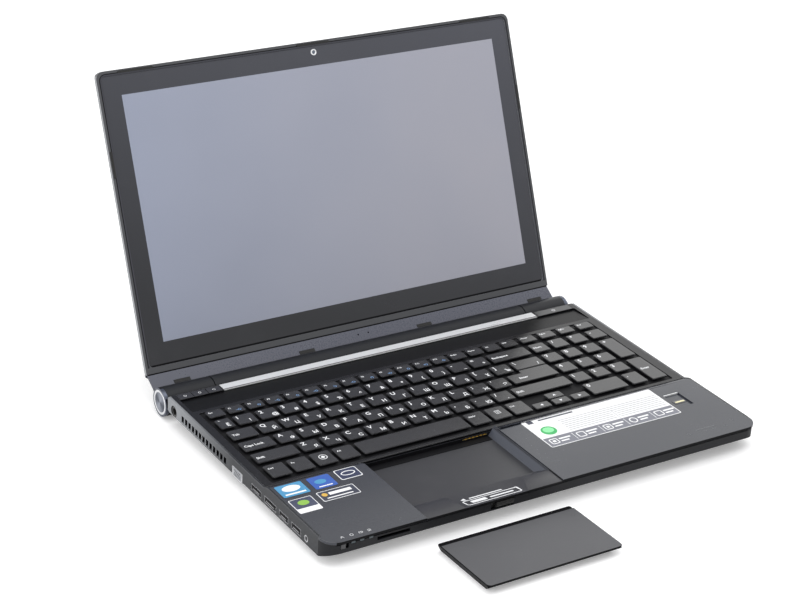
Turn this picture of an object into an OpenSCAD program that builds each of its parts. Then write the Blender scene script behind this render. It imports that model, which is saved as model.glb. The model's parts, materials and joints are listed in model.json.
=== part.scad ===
// Notebook computer, open, with its removable touchpad module lifted out and laid in front.
// The base is drawn in its own level frame: X to the right, Y from the front edge to the back,
// Z up from the top of the palm rest. place() then tips it by the wedge of the feet and puts
// the origin under the middle of the whole footprint, on the table.
// The lid is drawn about the hinge axis: X to the right, Y along the lid, Z out of the screen.

/* [Base] */
// Width over the side frames
base_w = 382; // [376:1:460]
// Depth from the front edge to the back of the deck
base_d = 242.5; // [240:0.5:300]
// Slope of the base down to the front, in degrees
wedge = 1.5; // [0:0.25:2.5]
// Wall of the lower case
wall = 1.8; // [1.2:0.1:2.4]
// Height of the rubber feet
foot_h = 2.5; // [2:0.5:4]
// Thickness of the palm rest slabs
palm_t = 2.2; // [1.6:0.1:2.8]
// Depth of the palm rest from the front edge
palm_d = 84; // [80:1:88]
// Step down from the palm rest to the keyboard deck
deck_drop = 2.5; // [1.5:0.1:3]
// Thickness of the keyboard deck
deck_t = 2.2; // [1.8:0.1:2.6]
// Thickness of the silver side frames
frame_t = 1.7; // [1.2:0.1:2.5]
// Height of the side frames below the palm rest
frame_h = 15; // [14:0.5:16]
// Radius of the base's front corners in plan
front_corner_r = 12; // [8:1:16]

/* [Touchpad bay and module] */
// Left edge of the bay
bay_left = -111.2; // [-125:0.2:-100]
// Width of the bay floor
bay_w = 112.4; // [100:0.2:130]
// Depth of the bay below the palm rest
bay_drop = 8; // [7:0.1:9]
// Front edge of the bay floor, from the base's front edge
bay_floor_y = 30; // [28:0.5:36]
// Depth of the flat lip in front of the bay
lip_d = 17; // [12:0.5:20]
// Thickness of the touchpad module
pad_t = 7.2; // [6:0.1:8]
// Gap from the base's front edge back to the module's rear edge, along the table
pad_away = 13.5; // [5:0.5:60]

/* [Keyboard] */
// Pitch of the letter keys
key_u = 19.1; // [15.5:0.1:19.6]
// Gap between neighbouring keys in a row
key_gap = 3.05; // [2:0.05:4]
// Depth of a key's top
key_d = 13.6; // [12:0.1:14]
// Gap between the rows
row_gap = 5.2; // [4:0.1:5.4]
// Height of a key cap
key_h = 1.4; // [1:0.1:1.6]
// How far a key travels down
key_travel = 1.3; // [0.8:0.1:1.4]
// Left edge of the keys
keys_left = -179.4; // [-180:0.2:-176]
// Front edge of the keys
keys_front = 97.1; // [96:0.1:99]

/* [Hinge] */
// Radius of the hinge barrel
barrel_r = 11.5; // [10:0.5:14]
// Distance of the hinge axis behind the deck
axis_back = 14.3; // [14:0.1:18]
// Top of the barrel below the palm rest
barrel_sink = 3; // [2:0.5:5]
// Half the length of the barrel's fixed middle section
barrel_half = 146.6; // [130:0.2:150]
// Radius of the hinge pins
pin_r = 2.5; // [2:0.1:3]
// Clearance around the hinge pins
pin_play = 0.05; // [0.02:0.01:0.1]

/* [Lid] */
// Opening angle from closed, in degrees
open_angle = 112.8; // [90:0.2:130]
// Width of the visible picture
picture_w = 344.2; // [300:0.2:344.2]
// Height of the visible picture
picture_h = 193.6; // [170:0.2:193.6]
// Distance from the hinge axis to the picture's lower edge, along the lid
picture_v = 43.2; // [43:0.2:50]
// Distance of the screen's face behind the barrel's surface
face_gap = 5.3; // [5.1:0.1:7.5]
// Dark border above the picture
border_top = 15.8; // [14:0.2:20]
// Dark border below the picture
border_low = 18; // [16:0.2:18]
// Width of the rim around the glass
rim_w = 4; // [3:0.1:6]
// Thickness of the lid behind the screen's face
lid_t = 8; // [7.6:0.1:11]
// Radius of the lid's corners
lid_corner_r = 6; // [4:0.5:10]

/* [Ports and vents] */
// Number of cooling slots in the left side
vent_count = 13; // [8:1:14]
// Pitch of the cooling slots
vent_pitch = 5.69; // [5:0.05:6]
// Width of a cooling slot
vent_w = 3.8; // [3:0.1:4.2]

/* [Hidden] */
$fn = 48;

// ---- derived sizes of the base ----
fit = 0.15;                                  // gap between pieces that are assembled and stay put
slide_fit = 0.3;                             // gap around pieces that slide
half_w = base_w / 2;
deck_z = -deck_drop;
deck_under = deck_z - deck_t;
step_y = palm_d + 6;                         // where the slope down to the deck ends
case_top = -palm_t - 0.1;                    // top of the lower case's walls
case_top_deck = deck_under - 0.1;
axis_y = base_d + axis_back;
axis_z = -barrel_sink - barrel_r;
barrel_clear = 1;                            // height of the barrel above the table
table_z = axis_z - barrel_r - barrel_clear;  // table under the hinge axis
face_front = 1;                              // recess of the lower case's front face
inner_w = half_w - frame_t;                  // half width inside the side frames

function table_at(y) = table_z + (axis_y - y) * tan(wedge);
function under_at(y) = table_at(y) + foot_h;
function floor_at(y) = under_at(y) + wall;

// ---- derived places of the lid ----
lean = 180 - open_angle;
glass_low = picture_v - border_low;
glass_high = picture_v + picture_h + border_top;
lid_top = glass_high + rim_w;
rim_low = glass_low - 5;
glass_half = half_w - rim_w;
face_back = barrel_r + face_gap;
lid_back = -face_back - lid_t;
part_n = -face_back - 2.4;                   // where the rim meets the back cover
shell_r = barrel_r + 1.3;                    // hollow of the lid around the barrel
band_v = (shell_r + 1) * cos(44.7);          // lower edge of the lower band, along the lid
band_n = -(shell_r + 1) * sin(44.7);         // and out of the hinge axis

// ---- places on the base ----
bay_right = bay_left + bay_w;
bay_edge = bay_right + 5.2;                  // top edge of the sloped right wall
bay_floor = -bay_drop;
bay_under = bay_floor - 1.4;
panel_front = base_d - 30.5;
panel_back = base_d - 9;
panel_half = half_w - 5.2;
strip_half = barrel_half + 0.8;
key_top = -0.5;
key_bottom = key_top - key_h;
plate_top = key_bottom - key_travel - 0.1;
plate_t = 1.2;
board_z = floor_at(20) + 1.29;               // underside of the motherboard, above the floor's front
board_t = 1.6;
board_top = board_z + board_t;

// ---- outlines ----
function arc(cx, cy, r, a0, a1, n = 6) =
    [for (i = [0 : n]) let (a = a0 + (a1 - a0) * i / n) [cx + r * cos(a), cy + r * sin(a)]];
function round_rect(x0, y0, x1, y1, r, n = 4) =
    concat(arc(x1 - r, y0 + r, r, -90, 0, n), arc(x1 - r, y1 - r, r, 0, 90, n),
           arc(x0 + r, y1 - r, r, 90, 180, n), arc(x0 + r, y0 + r, r, 180, 270, n));
function total(list, n) = n == 0 ? 0 : list[n - 1] + total(list, n - 1);

module block(low, high) translate(low) cube(high - low);
// profile points are (y, z)
module along_x(x0, x1) translate([x0, 0, 0]) rotate([90, 0, 90]) linear_extrude(x1 - x0) children();
// profile points are (x, z)
module along_y(y0, y1) translate([0, y1, 0]) rotate([90, 0, 0]) linear_extrude(y1 - y0) children();
module along_z(z0, z1) translate([0, 0, z0]) linear_extrude(z1 - z0) children();
module rod_x(x0, x1, r) translate([x0, 0, 0]) rotate([0, 90, 0]) cylinder(h = x1 - x0, r = r);
module both_sides() { children(); mirror([1, 0, 0]) children(); }

// ---- placing ----
// The lid's profile in (along the lid, out of the screen), used for its shape and its reach
function lid_profile() = concat(
    [[lid_top, -face_back + 0.4], [lid_top, part_n - 0.4], [lid_top - 1.8, part_n - 2.4],
     [lid_top - 5, lid_back + 1], [lid_top - 11, lid_back]],
    [[26, lid_back], [17, lid_back + 0.7], [9.5, lid_back + 2.6], [3.8, lid_back + 5.8],
     [0.4, lid_back + 10]],
    arc(0, 0, shell_r, -88, -48, 8),
    [[band_v, band_n], [rim_low, -face_back], [rim_low, -face_back + 0.4]]);
lid_reach = max([for (p = lid_profile()) p[0] * cos(lean + wedge) - p[1] * sin(lean + wedge)]);
axis_row_y = axis_y * cos(wedge) - axis_z * sin(wedge);
front_row_y = (palm_t + 1) * sin(wedge);     // the front edge, nearly
pad_over_y = 4.4;                            // how far the module's top reaches over the bay's ramp
pad_d = step_y - bay_floor_y - 0.6 + pad_over_y;
pad_back_y = front_row_y - pad_away;
pad_front_y = pad_back_y - pad_d;
shift_y = -(axis_row_y + lid_reach + pad_front_y) / 2;
shift_z = -table_z * cos(wedge) - axis_y * sin(wedge);

module place() translate([0, shift_y, shift_z]) rotate([wedge, 0, 0]) children();
module at_axis() translate([0, axis_y, axis_z]) children();
module in_lid() place() at_axis() rotate([lean, 0, 0]) children();
module on_table() translate([0, shift_y, 0]) children();

// ---- sockets in the left side: [middle in y, width, top, bottom] ----
monitor_socket = [130.5, 16.2, -8.6, -16.4];
video_socket = [101.5, 15, -8.3, -13.4];
combo_socket = [81, 17.6, -8, -13.6];
usb_sockets = [[61.6, 13.6, -8, -13.5], [43.6, 13.6, -8, -13.5]];
sockets = concat([video_socket, combo_socket], usb_sockets);
jack_y = 232.4;
jack_z = -10.8;
jack_r = 4.6;
audio_y = 29.5;
audio_z = -10.6;
audio_r = 2.6;
vent_mid = 183.4;
vent_top = -7.8;
vent_low = -13.3;
socket_deep = 14;

function vent_y(i) = vent_mid + (i - (vent_count - 1) / 2) * vent_pitch;
module socket_hole(s, grow) block([-half_w - 1, s[0] - s[1] / 2 - grow, s[3] - grow],
    [-half_w + socket_deep + 1, s[0] + s[1] / 2 + grow, s[2] + grow]);
module side_holes() {
    for (s = sockets) socket_hole(s, fit);
    socket_hole(monitor_socket, fit);
    for (i = [0 : vent_count - 1])
        block([-half_w - 1, vent_y(i) - vent_w / 2, vent_low], [-inner_w + 2.5, vent_y(i) + vent_w / 2, vent_top]);
    translate([0, jack_y, jack_z]) rod_x(-half_w - 1, -half_w + socket_deep, jack_r + fit);
    translate([0, audio_y, audio_z]) rod_x(-half_w - 1, -half_w + socket_deep, audio_r + fit);
}

// ---- lower case ----
drive_y0 = 92;
drive_d = 126;
drive_w = 128;
drive_t = 9.4;
drive_end = 3;                               // the drive's body ends this far inside the side frame
drive_z = -16.4;
tray_gap = 0.4;
card_x0 = -150.8;
card_x1 = -124.2;
card_z0 = -7.4;
card_z1 = -4.8;
latch_x = -44.5;
latch_w = 15;
latch_room = 4;                              // how far the bay latch slides
battery_x0 = -116;
battery_x1 = 58;
battery_y0 = 168;
battery_y1 = 226;
battery_top = -7.6;
cover_x0 = -56;
cover_x1 = 52;
cover_y0 = 104;
cover_y1 = 156;
block_latch_x = 74;                          // battery latch
block_latch_y = 231;

function case_side(inset) =
    [[face_front + inset, 2], [face_front + inset, -10 + inset * 0.3],
     [20 + inset * 0.2, under_at(20) + inset], [base_d - 6, under_at(base_d - 6) + inset],
     [base_d - inset, -18 + inset * 0.5], [base_d - inset, 2]];
// underside of the sloped sides
function side_slope(x) = -frame_h - (half_w - x) * (23.5 - frame_h) / 18 + 0.1;
function case_front(inset) =
    [[half_w - inset, 5], [half_w - inset, -frame_h + inset * 0.4],
     [half_w - 18 - inset * 0.4, -23.5 + inset * 0.6], [half_w - 18 - inset * 0.4, -60],
     [-half_w + 18 + inset * 0.4, -60], [-half_w + 18 + inset * 0.4, -23.5 + inset * 0.6],
     [-half_w + inset, -frame_h + inset * 0.4], [-half_w + inset, 5]];
module case_plan(inset) polygon(concat(
    arc(half_w - front_corner_r, face_front + front_corner_r, front_corner_r - inset, -90, 0, 8),
    arc(half_w - 4, base_d - 4, 4 - inset, 0, 90, 3),
    arc(-half_w + 4, base_d - 4, 4 - inset, 90, 180, 3),
    arc(-half_w + front_corner_r, face_front + front_corner_r, front_corner_r - inset, 180, 270, 8)));
module case_form(inset) intersection() {
    along_x(-half_w - 1, half_w + 1) polygon(case_side(inset));
    along_y(-1, base_d + 1) polygon(case_front(inset));
    along_z(-60, 5) case_plan(inset);
}
frame_y0 = face_front + front_corner_r + 0.5;
module frame_seats(gap) both_sides()
    block([inner_w - gap, frame_y0 - gap, -frame_h - gap], [half_w + 1, base_d + 5, 5]);

screw_spots = [[-150, 60], [-150, 140], [-20, 60], [150, 60], [-20, 160], [20, 232], [-60, 160], [-150, 226]];
disk_x = 24;                                 // hard drive
disk_y = 22;
disk_w = 100;
disk_z = floor_at(disk_y) + 0.35;
disk_h = 8.8;
bracket_foot = 0.5;                          // underside of the hinge brackets above the axis
foot_spots = [[-152, 34], [152, 34], [-152, 214], [152, 214]];
module bosses() for (p = screw_spots) translate([p[0], p[1], floor_at(p[1]) - 0.6]) cylinder(h = 4.6, r = 3);

module lower_case() color("#26272a") place() difference() {
    union() {
        difference() {
            case_form(0);
            intersection() {
                translate([0, 0, 0]) case_form(wall);
                block([-inner_w + wall, 0, -60], [inner_w - wall, base_d, 10]);
            }
            frame_seats(fit);
        }
        bosses();
        // seats for the hinge brackets' feet
        both_sides() block([124, base_d - 22, floor_at(base_d - 22) - 0.4], [138, base_d - 12, axis_z + bracket_foot]);
        // rails in front of and behind the optical drive
        block([disk_x + disk_w + 2, drive_y0 - 2.3, floor_at(drive_y0) - 1], [inner_w - 30, drive_y0 - slide_fit, drive_z + 6]);
        block([inner_w - drive_w + 3, drive_y0 + drive_d + slide_fit, floor_at(base_d) - 1],
              [120, drive_y0 + drive_d + 2.3, drive_z + 6]);
        // stop in front of the hard drive
        block([disk_x, disk_y - 2, floor_at(disk_y) - 0.6], [disk_x + disk_w, disk_y - 0.2, disk_z + 4.2]);
    }
    // open top: under the deck at the back, under the palm rest in front
    block([-half_w - 1, step_y + 0.3, case_top_deck], [half_w + 1, base_d + 1, 10]);
    block([-half_w - 1, -1, case_top], [half_w + 1, step_y + 2, 10]);
    // shadow gap below the palm rest, and room for the bay's lip
    block([-half_w - 1, -1, -palm_t - 1.2], [half_w + 1, face_front + 1.2, 10]);
    block([bay_left - 1, -1, -palm_t - 1.4], [lip_right + 1, face_front + wall + 1, 10]);
    side_holes();
    right_holes();
    // seats of the status lights and the radio switch
    for (x = light_x) light(x, fit);
    switch_slot();
    // card slot, switch and socket in the front face
    block([card_x0, -1, card_z0], [card_x1, 8, card_z1]);
    // window of the bay latch
    block([latch_x - latch_w / 2 - latch_room - slide_fit, -1, -9.2],
          [latch_x + latch_w / 2 + slide_fit, 4, -3.3]);
    // mouth of the optical drive
    block([inner_w - 16, drive_y0 - tray_gap, drive_z - tray_gap],
          [half_w + 1, drive_y0 + drive_d + tray_gap, drive_z + drive_t + tray_gap]);
    // battery well and service opening, through the floor
    block([battery_x0 - fit, battery_y0 - fit, -60], [battery_x1 + fit, battery_y1 + fit, battery_top]);
    block([cover_x0 - fit, cover_y0 - fit, -60], [cover_x1 + fit, cover_y1 + fit, floor_at(cover_y1) + 1.2]);
    // slot of the battery latch
    block([block_latch_x - 9, block_latch_y - 2.3, -60], [block_latch_x + 9, block_latch_y + 2.3, -17]);
    // rear wall slots for the hinge brackets and the barrel's root
    both_sides() block([139.6, base_d - 8, axis_z + 0.1], [143.4, base_d + 1, axis_z + 7.6]);
    // screw holes
    for (p = screw_spots) translate([p[0], p[1], -60]) cylinder(h = 70, r = 1.35);
    for (p = screw_spots) translate([p[0], p[1], under_at(p[1]) - 1]) cylinder(h = 1.9, r = 2.9);
    // speaker mouths and air slots under the fan
    for (i = [0 : 7]) block([-172, 166 + i * 4.4, -60], [-132, 168.2 + i * 4.4, floor_at(200) + 0.8]);
}

function frame_side() = [[frame_y0, -frame_h], [frame_y0, 0], [palm_d + 1, 0], [step_y + 1.5, deck_z],
    [base_d - 1, deck_z], [base_d + 0.3, deck_z - 2], [base_d + 0.3, -frame_h + 1], [base_d - 2, -frame_h]];
module side_frame_left() color("#b9bcc0") place() difference() {
    along_x(-half_w, -inner_w) polygon(frame_side());
    side_holes();
}
// right side: optical drive mouth, one data socket and two small jacks
right_socket = [72, 13.6, -8, -13.5];
right_jacks = [36, 48];
module right_holes() {
    mirror([1, 0, 0]) socket_hole(right_socket, fit);
    for (y = right_jacks) translate([0, y, audio_z]) rod_x(half_w - socket_deep, half_w + 1, audio_r + fit);
}
module side_frame_right() color("#b9bcc0") place() difference() {
    along_x(inner_w, half_w) polygon(frame_side());
    right_holes();
    block([inner_w - 1, drive_y0 - tray_gap, -frame_h - 3],
          [half_w + 1, drive_y0 + drive_d + tray_gap, drive_z + drive_t + tray_gap]);
}

// ---- palm rest: two slabs either side of the bay, each with a sloped back edge ----
module palm_plan() polygon(concat(
    arc(half_w - front_corner_r, front_corner_r, front_corner_r, -90, 0, 8), [[half_w, step_y], [-half_w, step_y]],
    arc(-half_w + front_corner_r, front_corner_r, front_corner_r, 180, 270, 8)));
module palm_form() difference() {
    intersection() {
        along_z(-palm_t, 0) palm_plan();
        along_x(-half_w - 1, half_w + 1)
            polygon([[-1, 1], [palm_d, 1], [palm_d, 0], [step_y, deck_z], [step_y, -10], [-1, -10]]);
    }
    frame_seats(fit);
    right_holes();
}
finger_x0 = 152;
finger_x1 = 166.4;
finger_y0 = 50;
finger_y1 = 70.5;
module palm_rest_left() color("#4b4e55") place() intersection() {
    palm_form();
    block([-half_w - 1, -1, -10], [bay_left, 200, 5]);
}
module palm_rest_right() color("#5a5c62") place() difference() {
    union() {
        intersection() {
            palm_form();
            block([bay_edge - 0.8, -1, -10], [half_w + 1, 200, 5]);
        }
        // top of the bay's sloped right wall
        along_y(lip_d + 0.2, step_y) polygon([[bay_edge, -0.02], [bay_edge, -palm_t],
            [bay_edge - palm_t * (bay_edge - bay_right) / bay_drop, -palm_t]]);
    }
    block([finger_x0, finger_y0, -1.2], [finger_x1, finger_y1, 1]);
    block([finger_x0 + 1.5, finger_y0 + 6, -5], [finger_x1 - 1.5, finger_y1 - 9.5, 1]);
}

// ---- keyboard deck ----
function fill(widths) = main_w - total(widths, len(widths)) - len(widths) * key_gap;
function same(n, w) = [for (i = [1 : n]) w];
function start_of(widths, i) = keys_left + total(widths, i) + i * key_gap;
function caps(widths, y, d) = [for (i = [0 : len(widths) - 1]) [start_of(widths, i), y, widths[i], d]];
key_w = key_u - key_gap;
grave_w = 12;
backspace_w = 37;
tab_w = 21.6;
capslock_w = 26;
shift_w = 35.4;
arrow_w = 15;
bottom_row_d = 17.5;
function_d = 10;
numpad_w = 14.65;
numpad_gap = 4.5;
main_w = grave_w + key_gap + 12 * key_u + backspace_w;
row_y = [for (r = [0 : 5]) r == 0 ? keys_front : keys_front + bottom_row_d + row_gap + (r - 1) * (key_d + row_gap)];
function_w = (main_w - 16 * key_gap) / 17;
function rest_of(widths) = concat(widths, [fill(widths)]);
numpad_x0 = keys_left + main_w + key_gap + 1.2;
function numpad_x(i) = numpad_x0 + i * (numpad_w + numpad_gap);
keys_right = numpad_x(3) + numpad_w;

function_caps = concat(caps(same(17, function_w), row_y[5], function_d),
    [for (i = [0 : 3]) [numpad_x(i), row_y[5], numpad_w, function_d]]);
number_caps = caps(rest_of(concat([grave_w], same(12, key_w))), row_y[4], key_d);
tab_caps = caps(rest_of(concat([tab_w], same(12, key_w))), row_y[3], key_d);
home_widths = concat([capslock_w], same(11, key_w));
home_caps = caps(home_widths, row_y[2], key_d);
shift_caps = caps(rest_of(concat([shift_w], same(10, key_w))), row_y[1], key_d);
space_w = main_w - 7 * key_w - 3 * arrow_w - 10 * key_gap;
bottom_widths = concat(same(4, key_w), [space_w], same(3, key_w));
bottom_all = caps(bottom_widths, row_y[0], bottom_row_d);
bottom_caps = [for (i = [0 : 7]) if (i != 4) bottom_all[i]];
space_caps = [bottom_all[4]];
enter_x = start_of(home_widths, 12);
enter_caps = [[enter_x, row_y[2], keys_left + main_w - enter_x, key_d]];
backslash_w = fill(concat([tab_w], same(12, key_w)));
arrow_x = start_of(bottom_widths, 8);
half_key = (bottom_row_d - 1.2) / 2;
arrow_caps = concat([for (i = [0 : 2]) [arrow_x + i * (arrow_w + key_gap), row_y[0], arrow_w, half_key]],
    [[arrow_x + arrow_w + key_gap, row_y[0] + half_key + 1.2, arrow_w, half_key]]);
tall_d = 2 * key_d + row_gap;
numpad_caps = concat(
    [for (r = [2, 3, 1], i = [0 : 2]) [numpad_x(i), row_y[r], numpad_w, key_d]],
    [for (i = [0 : 3]) [numpad_x(i), row_y[4], numpad_w, key_d]],
    [[numpad_x(3), row_y[2], numpad_w, tall_d],
     [numpad_x(3), row_y[0], numpad_w, bottom_row_d + row_gap + key_d],
     [numpad_x(0), row_y[0], 2 * numpad_w + numpad_gap, bottom_row_d],
     [numpad_x(2), row_y[0], numpad_w, bottom_row_d]]);
every_cap = concat(function_caps, number_caps, tab_caps, home_caps, shift_caps, bottom_caps,
    space_caps, enter_caps, arrow_caps, numpad_caps);

stem_r = 1.5;
stem_play = 0.2;
stem_low = plate_top - plate_t - 0.8;        // lower end of the guide stems at rest
wide_key = 30;
function stems(k) = k[2] > wide_key
    ? [[k[0] + 8, k[1] + k[3] / 2], [k[0] + k[2] - 8, k[1] + k[3] / 2]]
    : [[k[0] + k[2] / 2, k[1] + k[3] / 2]];
edge_h = 0.4;                                // height of a cap's bevelled top edge
edge_in = 0.35;
module cap(k) {
    along_z(key_bottom, key_top - edge_h)
        polygon(round_rect(k[0], k[1], k[0] + k[2], k[1] + k[3], 1.4));
    along_z(key_top - edge_h, key_top)
        polygon(round_rect(k[0] + edge_in, k[1] + edge_in, k[0] + k[2] - edge_in, k[1] + k[3] - edge_in, 1.2));
    for (s = stems(k)) translate([s[0], s[1], stem_low]) cylinder(h = key_bottom - stem_low, r = stem_r);
}
module key_group(list) color("#1b1c1f") place() for (k = list) cap(k);
module function_keys() key_group(function_caps);
module number_keys() key_group(number_caps);
module tab_row_keys() key_group(tab_caps);
module home_row_keys() key_group(home_caps);
module shift_row_keys() key_group(shift_caps);
module bottom_row_keys() key_group(concat(bottom_caps, arrow_caps));
module space_bar() key_group(space_caps);
module numpad_keys() key_group(numpad_caps);
module enter_key() color("#1b1c1f") place() union() {
    cap(enter_caps[0]);
    // the upper arm, which reaches up to the key above
    along_z(key_bottom, key_top - edge_h) polygon(round_rect(keys_left + main_w - backslash_w,
        row_y[2] + key_d / 2, keys_left + main_w, row_y[3] - 0.9, 1.4));
}

well_margin = 3.2;
well = [keys_left - well_margin, keys_front - well_margin, keys_right + well_margin, row_y[5] + function_d + well_margin];
ledge_w = 2.6;
ledge_t = 1.2;
module keyboard_plate() color("#2a2b2e") place() difference() {
    along_z(plate_top - plate_t, plate_top)
        polygon(round_rect(well[0] + fit, well[1] + fit, well[2] - fit, well[3] - fit, 1.4));
    for (k = every_cap, s = stems(k))
        translate([s[0], s[1], plate_top - plate_t - 1]) cylinder(h = plate_t + 2, r = stem_r + stem_play);
}

button_y0 = base_d - 8.6;
button_y1 = base_d - 0.9;
quick_w = 11.8;
quick_pitch = 12.3;
quick_x0 = -panel_half + 1;
power_x0 = strip_half + 2;
power_x1 = panel_half - 1.4;
button_play = 0.25;
button_h = deck_t - 0.6;
function quick_span(i) = [quick_x0 + i * quick_pitch, quick_x0 + i * quick_pitch + quick_w];
module button(x0, x1, grow, z0, z1) along_z(z0, z1)
    polygon(round_rect(x0 - grow, button_y0 - grow, x1 + grow, button_y1 + grow, 0.8 + grow));

module keyboard_deck() color("#1d1e21") place() difference() {
    union() {
        intersection() {
            along_x(-inner_w + fit, inner_w - fit) polygon([[step_y + 0.5, deck_z - 0.4],
                [step_y + 1, deck_z], [base_d - 0.4, deck_z], [base_d, deck_z - 0.4],
                [base_d, deck_under], [step_y + 0.5, deck_under]]);
            along_z(-20, 0) case_plan(0.1);
        }
        // ledge that carries the keyboard plate
        block([well[0] - 2, well[1] - 2, plate_top - plate_t - ledge_t - 0.05],
              [well[2] + 2, well[3] + 2, deck_under + 0.5]);
    }
    along_z(plate_top - plate_t - 0.05, 5) polygon(round_rect(well[0], well[1], well[2], well[3], 1.5));
    block([well[0] + ledge_w, well[1] + ledge_w, -20], [well[2] - ledge_w, well[3] - ledge_w, 5]);
    // opening of the speaker panel
    block([-panel_half, panel_front, -20], [panel_half, panel_back, 5]);
    // seat of the trim strip
    block([-strip_half - fit, panel_back - 0.5, deck_z - 1.2], [strip_half + fit, base_d + 1, 5]);
    for (i = [0 : 2]) button(quick_span(i)[0], quick_span(i)[1], button_play, -20, 5);
    button(power_x0, power_x1, button_play, -20, 5);
}

module speaker_panel() color("#17181a") place() union() {
    along_x(-panel_half + fit, panel_half - fit) polygon([[panel_front + fit, deck_z - 0.3],
        [panel_back - fit, deck_z - 1.5], [panel_back - fit, deck_z - 3], [panel_front + fit, deck_z - 1.8]]);
    // lugs that stand on the speakers
    both_sides() block([speaker_x + 2, panel_back - 9, deck_z - 3.6], [speaker_x + 26, panel_back - 3, deck_z - 1.7]);
}
speaker_w = 32;
speaker_x = 145;
speaker_y = drive_y0 + drive_d + 1.5;
module speakers() color("#303135") place() both_sides() difference() {
    union() {
        block([speaker_x, speaker_y, -15], [speaker_x + speaker_w, panel_back - 2, deck_z - 3.6]);
        block([speaker_x + 18, speaker_y + 2, floor_at(speaker_y + 2) + 0.1], [speaker_x + 26, panel_back - 5, -15]);
    }
    translate([speaker_x + 14, (speaker_y + panel_back - 2) / 2, -7.4]) cylinder(h = 6, r = 4.6);
}
module trim_strip() color("#e3e4e6") place() union() {
    along_x(-strip_half, strip_half) polygon([[panel_back + fit, deck_z - 1.1], [panel_back + fit, deck_z - 0.3],
        [panel_back + 0.45, deck_z], [base_d - 0.3, deck_z], [base_d, deck_z - 0.3], [base_d, deck_z - 1.1]]);
}
module quick_buttons() color("#17181b") place()
    for (i = [0 : 2]) button(quick_span(i)[0], quick_span(i)[1], 0, deck_z - button_h, deck_z);
module power_button() color("#2c2d31") place() button(power_x0, power_x1, 0, deck_z - button_h, deck_z);

// ---- touchpad bay ----
notch_left = -78.5;                          // ends of the finger notch at the front edge
notch_right = -25;
notch_turn = 16;                             // how far the ends turn outwards to the back, in degrees
// one sloped end of the notch; side is -1 at the left, 1 at the right; draft is its run per unit of depth
module notch_end(x, side, draft) translate([x, -1, 0]) rotate([0, 0, -side * notch_turn]) along_y(-20, 80)
    polygon([[-side * 150, -30], [-side * 29.3 * draft, -30], [side * 5.7 * draft, 5], [-side * 150, 5]]);
lip_right = bay_edge - 1.4;
contact_x = -22;
contact_w = 22;
module touchpad_bay() color("#44464c") place() difference() {
    union() {
        // tray
        block([bay_left - 2, bay_floor_y - 14, bay_under], [bay_edge + 1.6, step_y + 1.6, -palm_t - 0.1]);
        // lip
        along_x(bay_left + 0.3, lip_right) polygon([[0, -0.75], [lip_d, -0.4], [bay_floor_y, bay_floor],
            [bay_floor_y, bay_under], [26, -8.8], [1.4, -2.6], [0, -2.4]]);
    }
    // pocket over the floor and its sloped right wall
    along_y(bay_floor_y, step_y) polygon([[bay_left, 1], [bay_left, bay_floor], [bay_right, bay_floor],
        [bay_edge, 0], [bay_edge, 1]]);
    // ramp up to the lip
    intersection() {
        along_x(bay_left - 0.2, bay_edge) polygon([[lip_d - 0.1, -0.4], [bay_floor_y, bay_floor],
            [bay_floor_y + 0.1, bay_floor], [bay_floor_y + 0.1, 1], [lip_d - 0.1, 1]]);
        along_y(0, bay_floor_y + 1) polygon([[bay_left, 1], [bay_left, bay_floor - 1], [bay_right, bay_floor - 1],
            [bay_right, bay_floor], [bay_edge, 0], [bay_edge, 1]]);
    }
    // finger notch through the middle of the lip
    intersection() {
        notch_end(notch_left, -1, 1.2);
        notch_end(notch_right, 1, 2.6);
        along_x(-90, 0) polygon([[-1, -0.7], [bay_floor_y, bay_floor], [bay_floor_y, 5], [-1, 5]]);
    }
    // hollow below the ramp
    along_x(bay_left + 1.2, bay_right) polygon([[-1, -30], [-1, -2.6], [1.4, -2.6], [26, -8.8], [26, -30]]);
    // under the deck's front edge
    block([bay_left - 5, step_y, case_top_deck], [bay_edge + 5, step_y + 5, 5]);
    // pocket of the contact block
    block([contact_x - fit, step_y - 0.1, bay_floor + 1.4], [contact_x + contact_w + fit, step_y + 1, case_top_deck - 0.8]);
}
contact_count = 6;
module bay_contacts() color("#c8a24a") place() union() {
    block([contact_x, step_y + 0.15, bay_floor + 1.5], [contact_x + contact_w, step_y + 0.95, case_top_deck - 0.9]);
    for (i = [0 : contact_count - 1])
        block([contact_x + 2 + i * 3.4, step_y - 0.25, bay_floor + 1.7],
              [contact_x + 3.6 + i * 3.4, step_y + 0.5, case_top_deck - 1.1]);
}
module bay_latch() color("#141517") place() union() {
    along_x(latch_x - latch_w / 2, latch_x + latch_w / 2) polygon([[0.3, -3.9], [0.3, -7.2], [1.6, -8.8], [4.4, -8.8], [4.4, -3.9]]);
    // foot that holds the latch behind the front face
    block([latch_x - latch_w / 2 - 3, 3.3, -9.1], [latch_x + latch_w / 2 + 3, 4.4, -3.6]);
}

// ---- inside the base ----
board_y0 = 102;
board_y1 = 147;
module motherboard() color("#1f5f3a") place() difference() {
    union() {
        block([-inner_w + 3, board_y0, board_z], [58, board_y1, board_top]);
        block([-inner_w + 3, 20, board_z], [bay_left - 3.2, board_y0 + 1, board_top]);
        // processor, graphics chip and controller
        block([-106, 116, board_top], [-74, 142, board_top + 1.4]);
        block([-52, 118, board_top], [-30, 140, board_top + 1.4]);
        block([14, 114, board_top], [32, 132, board_top + 1.6]);
        for (i = [0 : 3]) block([-166 + i * 9, 106, board_top], [-161 + i * 9, 111, board_top + 2.4]);
    }
    // notch for the low monitor socket
    block([-half_w, monitor_socket[0] - 9, -30], [-half_w + socket_deep + 1.5, monitor_socket[0] + 9, 0]);
    for (p = screw_spots) translate([p[0], p[1], -30]) cylinder(h = 30, r = 3.3);
}
fin_count = 16;
vent_span = vent_count * vent_pitch;
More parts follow.
